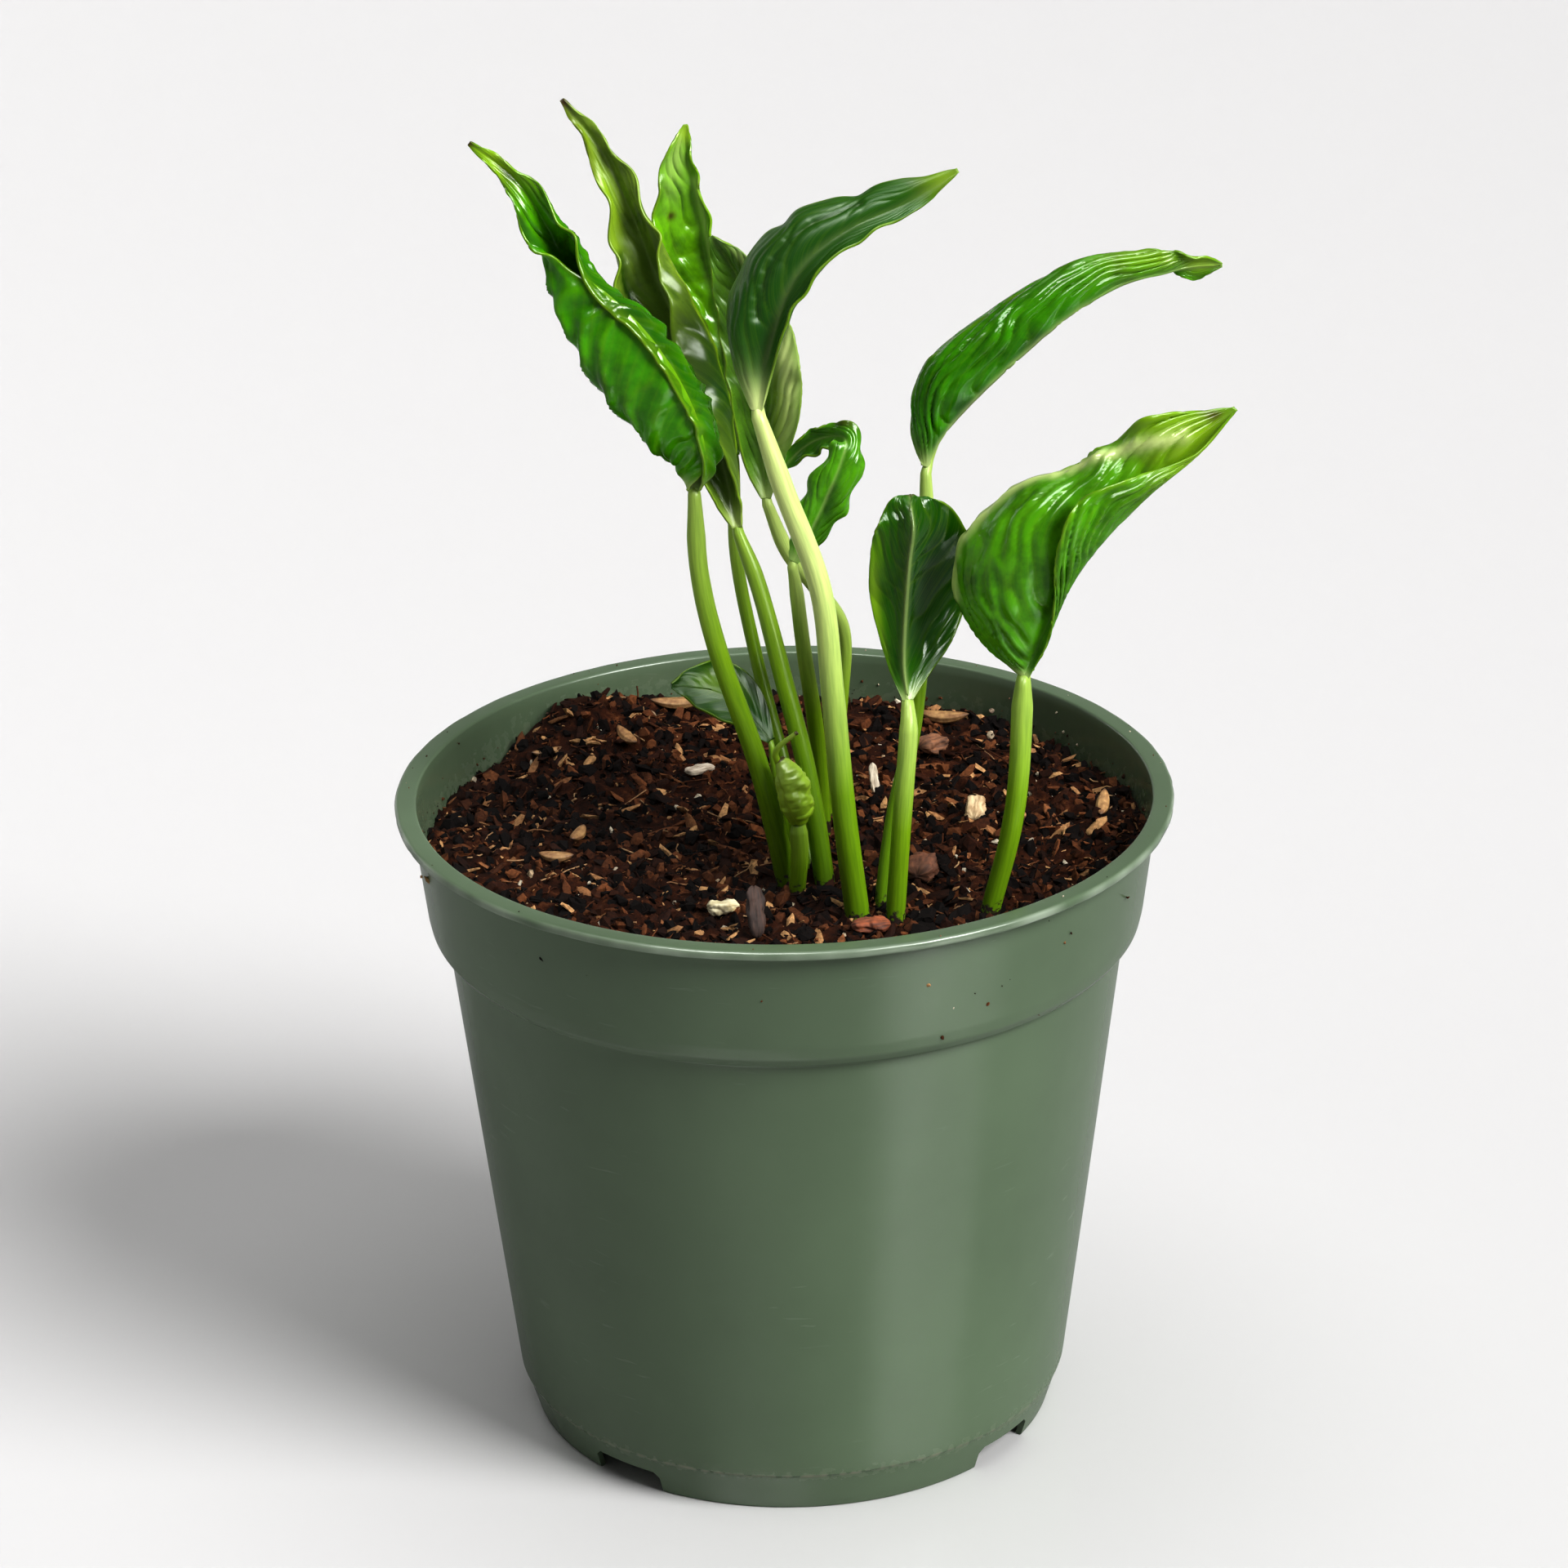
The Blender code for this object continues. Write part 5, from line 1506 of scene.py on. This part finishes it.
def stalk_centre(name, path, radius):
    """Points up a stalk, from its root to where it runs on behind the base of its blade."""
    base = Vector(path[0])
    lean = (Vector(path[1]) - base).normalized()
    root = base - STALK_DEPTH * Vector((ROOT_LEAN * lean.x, ROOT_LEAN * lean.y, 1.0))
    through = [tuple(root), *path]
    centre = [Vector(catmull(through, i / STALK_STEPS)) for i in range(STALK_STEPS + 1)]
    if name != "shoot_sheath":
        blade = BLADES.get(name.replace("stalk", "leaf"), BLADES["leaf_soil"])
        behind = Vector((0, 0.3 + 0.65 * radius, 0))
        midrib = [station[0] for station in blade]
        ends = [centre[-1], *(Vector(catmull(midrib, t)) + behind for t in STALK_END)]
        count = STALK_END_STEPS
        centre += [Vector(catmull(ends, i / count)) for i in range(1, count + 1)]
    return centre


class POTHOS_OT_stalks(bpy.types.Operator):
    """Make the grooved leaf stalks, from the mix up into their blades"""

    bl_idname = "pothos.make_stalks"
    bl_label = "Leaf stalks"

    def execute(self, context):
        skin = stalk_skin()
        lift = Vector((0, 0, SOIL_LEVEL))
        for name, ((at_soil, at_blade), path) in STALKS.items():
            pale_from, paleness, limeness, groove = STALK_TONES[name]
            centre = stalk_centre(name, path, at_blade)
            top = path[-1][2]
            radii, rises = [], []
            for i, point in enumerate(centre):
                rise = max(0.0, point.z) / top
                radius = at_soil + (at_blade - at_soil) * min(rise, 1.0)
                past = max(0, i - STALK_STEPS) / STALK_END_STEPS
                # The last tenth narrows to the blade, and what is past it to a thin end.
                narrow = 1 - 0.28 * max(0.0, (min(rise, 1.0) - 0.9) / 0.1)
                radius *= narrow * (1 - 0.8 * past)
                radius *= 1 + 0.03 * noise.noise(Vector((i * 0.13, at_soil * 9, 0)))
                radii.append(radius)
                rises.append(rise)
            lifted = [point + lift for point in centre]
            points = tube_rings(lifted, radii, STALK_SIDES, (groove, 0.10, 0.5))
            mesh = mesh_of(name, points, ring_faces(len(centre), STALK_SIDES))
            marks, uvs = [], []
            for point, rise in zip(centre, rises):
                pale = paleness * min(1.0, max(0.0, (rise - pale_from + 0.35) / 0.45))
                dirt = math.exp(-max(0.0, point.z) / 5.0)
                deep = max(0.0, 1 - rise * 1.6)
                for k in range(STALK_SIDES):
                    angle = 2 * math.pi * k / STALK_SIDES
                    edge = 0.5 + 0.5 * math.cos(angle - groove)
                    marks.append((pale, limeness * (0.4 + 0.6 * edge), 0.75 * deep, dirt))
                    uvs.append((k / STALK_SIDES, rise * top / 10))
            store(mesh, "marks", "FLOAT_COLOR", marks)
            store_uv(mesh, uvs)
            obj = new_object(name + "_detailed", mesh, skin)
            finish(obj, "shoot" if name == "shoot_sheath" else "stalk", name)
        return {"FINISHED"}


# ---------------------------------------------------------------- blades


def leaf_skin(name, roughness, green):
    """A waxy pothos blade: glossy cuticle over a mottled green, with pale veins and dry tips."""
    looks = bpy.context.scene.plant_looks
    made, tree, shader = new_material(name, roughness, IOR=1.45, Specular_IOR_Level=0.42)
    place = add(tree, "ShaderNodeTexCoord").outputs["Object"]
    marks = add(tree, "ShaderNodeAttribute", attribute_name="marks")
    parts = add(tree, "ShaderNodeSeparateColor", {0: marks.outputs["Color"]})
    vein = add(tree, "ShaderNodeAttribute", attribute_name="vein").outputs["Fac"]
    # Cells between the smallest veins are about 1.5 mm across.
    mottle = add(
        tree,
        "ShaderNodeTexNoise",
        {"Vector": place, "Scale": per_metre(5.0), "Detail": 5.0, "Roughness": 0.6},
    )
    depth = add(
        tree,
        "ShaderNodeMapRange",
        {"Value": mottle.outputs["Fac"], "From Min": 0.42, "From Max": 0.68, "To Max": 0.7},
    )
    # The deep green comes in by the mottle and by the dark marks; some of these marks are painted
    # shade.
    deep = add(
        tree, "ShaderNodeMath", {0: parts.outputs[2], 1: depth.outputs[0]}, operation="MAXIMUM"
    )
    base = mixed(tree, deep.outputs[0], green, looks.deep)
    surface = add(tree, "ShaderNodeUVMap", uv_map="surface").outputs[0]
    fine_grain = add(tree, "ShaderNodeMapping", {"Vector": surface, "Scale": (3.0, 70.0, 1.0)})
    streak = add(
        tree, "ShaderNodeTexNoise", {"Vector": fine_grain.outputs[0], "Scale": 1.0, "Detail": 3.0}
    )
    lit = add(
        tree,
        "ShaderNodeMapRange",
        {"Value": streak.outputs["Fac"], "From Min": 0.45, "From Max": 0.75, "To Max": 0.13},
    )
    base = mixed(tree, lit.outputs[0], base, looks.lime)
    soft = add(tree, "ShaderNodeMath", {0: vein, 1: 0.08}, operation="MULTIPLY")
    base = mixed(tree, soft.outputs[0], base, looks.lime)
    # Lime marks come in here; the lime lines along a fold and a ridge are painted highlight, the
    # margins the blade's own colour.
    base = mixed(tree, parts.outputs[1], base, looks.lime)
    base = mixed(tree, parts.outputs[0], base, looks.pale)
    base = mixed(tree, marks.outputs["Alpha"], base, looks.dry)
    tree.links.new(base, shader.inputs["Base Color"])
    rough = add(
        tree,
        "ShaderNodeMapRange",
        {"Value": mottle.outputs["Fac"], "To Min": roughness - 0.06, "To Max": roughness + 0.06},
    )
    tree.links.new(rough.outputs[0], shader.inputs["Roughness"])
    bump = add(
        tree,
        "ShaderNodeBump",
        {"Height": streak.outputs["Fac"], "Strength": 0.3, "Distance": 0.08 * MM},
    )
    tree.links.new(bump.outputs[0], shader.inputs["Normal"])
    return made


def blade_sheet(stations, rows, columns):
    """Points over a blade, (rows, columns, 3), and its width from the midrib at each point."""
    flat = [sum(station, ()) for station in stations]
    shares = np.linspace(0, 1, rows)
    sections = np.array([catmull(flat, t) for t in shares])
    ahead = np.array([catmull(flat, t + 0.02)[:3] for t in np.minimum(shares, 0.98)])
    ahead -= np.array([catmull(flat, t - 0.02)[:3] for t in np.maximum(shares, 0.02)])
    across = np.stack([ahead[:, 2], np.zeros(rows), -ahead[:, 0]], axis=1)
    across /= np.linalg.norm(across, axis=1, keepdims=True)
    u = np.linspace(-1, 1, columns)[None, :]
    size = np.abs(u)
    left = (u < 0).astype(float)
    side = np.where(u < 0, -1.0, 1.0)
    reach, depth, cup = (
        sections[:, k : k + 1] * left + sections[:, k + 3 : k + 4] * (1 - left) for k in (3, 4, 5)
    )
    span = np.maximum(np.hypot(reach, depth), 1e-6)
    arch = 4 * size * (1 - size)
    a = reach * size - side * depth * cup / span * arch
    b = depth * size + side * reach * cup / span * arch
    sheet = sections[:, None, :3] + across[:, None, :] * a[..., None]
    sheet[..., 1] += b
    return sheet, size * span


def sheet_normals(sheet):
    """Unit normals of a grid of points, facing the front."""
    along = np.gradient(sheet, axis=0)
    over = np.gradient(sheet, axis=1)
    normal = np.cross(over, along)
    return normal / np.maximum(np.linalg.norm(normal, axis=2, keepdims=True), 1e-9)


def near_line(sheet, path, width):
    """1 on the line through the path's (along, across) points, 0 a few widths from it."""
    rows, columns = sheet.shape[:2]
    weight = np.zeros((rows, columns))
    for n in range(LINE_SAMPLES):
        along, across = catmull(path, n / (LINE_SAMPLES - 1))
        spot = sheet[round(along * (rows - 1)), round((across + 1) / 2 * (columns - 1))]
        away = np.linalg.norm(sheet - spot, axis=2) / width
        weight = np.maximum(weight, np.exp(-away * away))
    return weight


def crinkled(name, sheet, widths):
    """The sheet with its side-vein ridges, wrinkles and wavy margin, and the ridges' height."""
    ridges, ridge_height, slant, wrinkle, wave, waves, wave_from = CRINKLE[name]
    rows, columns = widths.shape
    t = np.linspace(0, 1, rows)[:, None]
    u = np.linspace(-1, 1, columns)[None, :]
    size = np.abs(u)
    seed = float(sum(map(ord, name)) % 97)
    warp, fine, where = (np.empty((rows, columns)) for _ in range(3))
    for i in range(rows):
        for j in range(columns):
            x, y, z = sheet[i, j]
            warp[i, j] = noise.noise(Vector((x / 6, y / 6 + seed, z / 6)))
            run = t[i, 0] - slant * size[0, j] ** 1.3
            spot = Vector((u[0, j] * 1.5 + 0.8 * warp[i, j], run * ridges * 1.6, seed))
            crease = 1 - 2.4 * math.sqrt(noise.noise(spot) ** 2 + 0.01)
            where[i, j] = 0.55 + 1.1 * noise.noise(Vector((u[0, j] * 1.3, run * 4.0, seed + 5)))
            fine[i, j] = crease * min(1.0, max(0.15, where[i, j]))
    phase = ridges * (t - slant * size**1.3) + 1.3 * warp + 0.5 * (u > 0)
    ridge = np.abs(np.sin(math.pi * phase)) ** 0.8 - 0.55
    ends = np.clip(t / 0.12, 0, 1) * np.clip((1 - t) / 0.08, 0, 1)
    half_width = np.maximum(widths[:, :1] * (u < 0), widths[:, -1:] * (u >= 0))
    spread = np.clip(widths / 1.2, 0, 1) * np.clip(half_width / 6, 0.2, 1) * ends
    strength = ridge_height * (0.6 + 0.8 * np.clip(1 - where, 0, 1))
    height = strength * ridge * np.sin(math.pi * np.clip(size, 0, 1) ** 0.8) ** 0.5 * spread
    height += wrinkle * fine * spread
    rising = np.clip((t - wave_from) / 0.15, 0, 1)
    swing = np.sin(2 * math.pi * (waves * t + 0.3 * warp) + 2.0 * (u > 0))
    height += wave * size**3 * swing * ends * rising
    height -= 0.28 * np.exp(-((widths / 0.55) ** 2)) * ends
    for _, _, width, rise, path in LINES.get(name, ()):
        height += rise * near_line(sheet, path, width) * ends
    normal = sheet_normals(sheet)
    return sheet + normal * height[..., None], np.clip(-ridge * 2.2, 0, 1) * spread


def blade_marks(name, sheet, widths):
    """Pale, lime, deep and dry shares over a blade."""
    rows, columns = widths.shape
    t = np.linspace(0, 1, rows)[:, None]
    u = np.linspace(-1, 1, columns)[None, :]
    marks = {kind: np.zeros((rows, columns)) for kind in ("pale", "lime", "dark", "dry")}
    rib = 0.03 * widths.max() + 0.15
    marks["pale"] += LEAF_SKINS[name][2] * np.exp(-((widths / rib) ** 2)) * (1 - 0.6 * t)
    marks["lime"] += 0.45 * np.clip((np.abs(u) - 0.955) / 0.045, 0, 1)
    for kind, along, across, reach_t, reach_u, amount in MARKS[name]:
        patch = np.exp(-(((t - along) / reach_t) ** 2) - ((u - across) / reach_u) ** 2)
        marks[kind] = np.maximum(marks[kind], amount * patch)
    # Some lines are painted light: lime along a fold and a ridge is painted highlight, dark along a
    # groove painted shade.
    for kind, amount, width, _, path in LINES.get(name, ()):
        marks[kind] = np.maximum(marks[kind], amount * near_line(sheet, path, width))
    return np.clip(np.stack([marks[k] for k in ("pale", "lime", "dark", "dry")], axis=2), 0, 1)


def shell_faces(rows, columns):
    """Faces of a closed shell whose front grid of vertices comes first and its back grid second."""
    back = rows * columns
    faces = []
    for i in range(rows - 1):
        for j in range(columns - 1):
            a = i * columns + j
            quad = (a, a + 1, a + columns + 1, a + columns)
            faces.append(quad)
            faces.append(tuple(back + v for v in reversed(quad)))
    border = list(range(columns - 1))
    border += [i * columns + columns - 1 for i in range(rows - 1)]
    border += [(rows - 1) * columns + j for j in range(columns - 1, 0, -1)]
    border += [i * columns for i in range(rows - 1, 0, -1)]
    for first, second in zip(border, border[1:] + border[:1]):
        faces.append((second, first, back + first, back + second))
    return faces


# Each blade's roughness, its green, and how pale its midrib is.
LEAF_SKINS = {
    "leaf_rolled_left": (0.16, "#4A9C04", 0.0),
    "leaf_tall_left": (0.32, "#84A036", 0.1),
    "leaf_arching": (0.34, "#2C6C04", 0.15),
    "leaf_bright_back": (0.17, "#74B40C", 0.15),
    "leaf_far_right": (0.16, "#429404", 0.5),
    "leaf_broad_right": (0.17, "#5CA612", 0.05),
    "leaf_upright": (0.19, "#327206", 0.4),
    "leaf_crinkled": (0.15, "#64B01C", 0.3),
    "leaf_soil": (0.38, "#2A5C04", 0.05),
    "leaf_variegated": (0.28, "#62902A", 0.25),
}


class POTHOS_OT_blades(bpy.types.Operator):
    """Make the crinkled, half-rolled leaf blades"""

    bl_idname = "pothos.make_blades"
    bl_label = "Leaf blades"

    def execute(self, context):
        looks = context.scene.plant_looks
        rows, columns = looks.rows, looks.columns + 1
        faces = shell_faces(rows, columns)
        for name, stations in BLADES.items():
            sheet, widths = blade_sheet(stations, rows, columns)
            sheet, veins = crinkled(name, sheet, widths)
            sheet[..., 2] += SOIL_LEVEL
            offset = sheet_normals(sheet) * (looks.thickness / MM / 2)
            front, back = (sheet + offset).reshape(-1, 3), (sheet - offset).reshape(-1, 3)
            points = np.concatenate([front, back])
            mesh = mesh_of(name, points, faces)
            marks = blade_marks(name, sheet, widths).reshape(-1, 4)
            store(mesh, "marks", "FLOAT_COLOR", np.concatenate([marks, marks]))
            store(mesh, "vein", "FLOAT", np.concatenate([veins.ravel(), veins.ravel()]))
            u, t = np.meshgrid(np.linspace(0, 1, columns), np.linspace(0, 1, rows))
            slanted = t - CRINKLE[name][2] * np.abs(2 * u - 1) ** 1.3
            uvs = np.stack([u.ravel(), slanted.ravel()], axis=1)
            store_uv(mesh, np.concatenate([uvs, uvs]))
            roughness, code, _ = LEAF_SKINS[name]
            skin = leaf_skin(f"skin_{name}", roughness, linear(code))
            finish(new_object(name + "_detailed", mesh, skin), "leaf", name)
        return {"FINISHED"}


def frilled(points, centre, sizes, sides):
    """A rolled leaf's rings with their ruffled side and the seam where the roll closes."""
    rows = len(centre) - 1
    for n, point in enumerate(points):
        i, k = divmod(n, sides)
        angle = 2 * math.pi * k / sides
        spot = Vector((math.cos(angle) * 0.9, math.sin(angle) * 0.9, i * 0.09))
        right = 0.25 + 0.75 * max(0.0, math.cos(angle + 0.4))
        frill = 0.7 * right * noise.fractal(spot, 0.8, 2.1, 3) * math.sin(math.pi * i / rows)
        off = math.remainder(angle - 4.4 + i * 0.012, 2 * math.pi) / 0.2
        seam = -0.35 * math.exp(-(off**2))
        points[n] = point + (point - centre[i]).normalized() * (frill + seam * sizes[i] * 0.5)


class POTHOS_OT_shoot(bpy.types.Operator):
    """Make the emerging rolled leaf and the dry spur beside it"""

    bl_idname = "pothos.make_shoot"
    bl_label = "Young shoot"

    def execute(self, context):
        young = leaf_skin("young_rolled_leaf_skin", 0.3, linear("#B4DC1E"))
        lift = Vector((0, 0, SOIL_LEVEL))
        for name, (path, radii, rows, sides) in SHOOT.items():
            centre = [Vector(catmull(path, i / rows)) + lift for i in range(rows + 1)]
            sizes = [catmull([(r,) for r in radii], i / rows)[0] for i in range(rows + 1)]
            points = tube_rings(centre, sizes, sides)
            if name == "emerging_leaf":
                frilled(points, centre, sizes, sides)
            mesh = mesh_of(name, points, ring_faces(rows + 1, sides))
            marks = []
            for n in range(len(points)):
                share = n // sides / rows
                marks.append((0.2 * share, 0.85, 0.2 * (1 - share), 0.9 if share > 0.97 else 0.0))
            store(mesh, "marks", "FLOAT_COLOR", marks)
            store(mesh, "vein", "FLOAT", [0.0] * len(points))
            store_uv(mesh, [(n % sides / sides, n // sides / rows) for n in range(len(points))])
            finish(new_object(name + "_detailed", mesh, young), "shoot", name)
        return {"FINISHED"}


# ---------------------------------------------------------------- stage


def acrylic(seen_colour, bounce_colour):
    """Gloss white sheet, which throws back less light than it shows, as an over-lit one does."""
    made, tree, shader = new_material("gloss_white_acrylic_sheet", 0.12, IOR=1.49)
    place = add(tree, "ShaderNodeTexCoord").outputs["Object"]
    haze = add(
        tree, "ShaderNodeTexNoise", {"Vector": place, "Scale": per_metre(60), "Detail": 3.0}
    )
    rough = add(
        tree,
        "ShaderNodeMapRange",
        {"Value": haze.outputs["Fac"], "To Min": 0.09, "To Max": 0.14},
    )
    tree.links.new(rough.outputs[0], shader.inputs["Roughness"])
    seen = add(tree, "ShaderNodeLightPath").outputs["Is Camera Ray"]
    colour = mixed(tree, seen, bounce_colour, seen_colour)
    tree.links.new(colour, shader.inputs["Base Color"])
    return made


def light_world(colour, strength):
    """Even light from all round."""
    world = bpy.data.worlds.new("studio_light_tent")
    world.use_nodes = True
    back = world.node_tree.nodes["Background"]
    back.inputs["Color"].default_value = colour
    back.inputs["Strength"].default_value = strength
    bpy.context.scene.world = world


def place_camera(lens):
    """The camera in front of the plant and above it, looking down."""
    camera = bpy.data.cameras.new("camera")
    camera.lens = lens
    camera.sensor_width = CAMERA_SENSOR
    camera.clip_end = CAMERA_FAR_END
    obj = bpy.data.objects.new("camera", camera)
    ahead = Vector((0, math.cos(CAMERA_PITCH), -math.sin(CAMERA_PITCH)))
    level = Vector((1, 0, 0))
    upright = level.cross(ahead)
    right = level * math.cos(CAMERA_ROLL) + upright * math.sin(CAMERA_ROLL)
    up = -level * math.sin(CAMERA_ROLL) + upright * math.cos(CAMERA_ROLL)
    matrix = obj.matrix_world.copy()
    for i in range(3):
        matrix[i][0], matrix[i][1], matrix[i][2] = right[i], up[i], -ahead[i]
    matrix.translation = Vector(CAMERA_PLACE) * MM
    obj.matrix_world = matrix
    bpy.context.scene.collection.objects.link(obj)
    bpy.context.scene.camera = obj


class POTHOS_OT_stage(bpy.types.Operator):
    """Set up the pale floor, the soft lights and the camera"""

    bl_idname = "pothos.make_stage"
    bl_label = "Stage"

    def execute(self, context):
        looks, scene = context.scene.stage_looks, context.scene
        points, faces = turned(FLOOR_OUTLINE, 96)
        mesh = mesh_of("studio_floor", points, [f for f in faces if len(f) == 4])
        bm = bmesh.new()
        bm.from_mesh(mesh)
        hole = [e for e in bm.edges if e.is_boundary and e.verts[0].co.length < 0.01]
        bmesh.ops.holes_fill(bm, edges=hole)
        bmesh.ops.recalc_face_normals(bm, faces=bm.faces)
        bm.to_mesh(mesh)
        bm.free()
        sheet = acrylic(looks.floor, looks.floor_bounce)
        new_object("studio_floor", mesh, sheet)
        light_world(looks.sky, looks.fill)
        for name, azimuth, elevation, setting, share, width, gloss_only in LAMPS:
            data = bpy.data.lights.new(name, "SUN")
            data.energy = share * getattr(looks, setting)
            data.angle = math.radians(width)
            a, e = math.radians(azimuth), math.radians(elevation)
            way = Vector((math.cos(e) * math.cos(a), math.cos(e) * math.sin(a), math.sin(e)))
            obj = bpy.data.objects.new(name, data)
            obj.location = way
            obj.rotation_euler = way.to_track_quat("Z", "Y").to_euler()
            obj.visible_camera = False
            obj.visible_diffuse = not gloss_only
            scene.collection.objects.link(obj)
        place_camera(looks.lens)
        scene.view_settings.view_transform = "Standard"
        scene.view_settings.gamma = CONTRAST_GAMMA
        return {"FINISHED"}


class POTHOS_PT_panel(bpy.types.Panel):
    """Lists the potted pothos's pieces"""

    bl_idname = "POTHOS_PT_panel"
    bl_label = "Potted pothos"
    bl_space_type = "VIEW_3D"
    bl_region_type = "UI"
    bl_category = "Pothos"

    def draw(self, context):
        for made in OPERATORS:
            self.layout.operator(made.bl_idname)
        for group in GROUPS:
            box = self.layout.box()
            for name in GROUPS[group].__annotations__:
                box.prop(getattr(context.scene, group), name)


OPERATORS = (
    POTHOS_OT_pot,
    POTHOS_OT_mix,
    POTHOS_OT_specks,
    POTHOS_OT_loose,
    POTHOS_OT_stalks,
    POTHOS_OT_blades,
    POTHOS_OT_shoot,
    POTHOS_OT_stage,
)
GROUPS = {
    "pot_looks": PotLooks,
    "mix_looks": MixLooks,
    "plant_looks": PlantLooks,
    "stage_looks": StageLooks,
}


def register():
    for name, group in GROUPS.items():
        bpy.utils.register_class(group)
        setattr(bpy.types.Scene, name, bpy.props.PointerProperty(type=group))
    for made in (*OPERATORS, POTHOS_PT_panel):
        bpy.utils.register_class(made)


def unregister():
    for made in reversed((*OPERATORS, POTHOS_PT_panel)):
        bpy.utils.unregister_class(made)
    for name, group in reversed(GROUPS.items()):
        delattr(bpy.types.Scene, name)
        bpy.utils.unregister_class(group)


def main():
    register()
    for made in OPERATORS:
        group, name = made.bl_idname.split(".")
        getattr(getattr(bpy.ops, group), name)()
    bpy.context.view_layer.update()


if __name__ == "__main__":
    main()
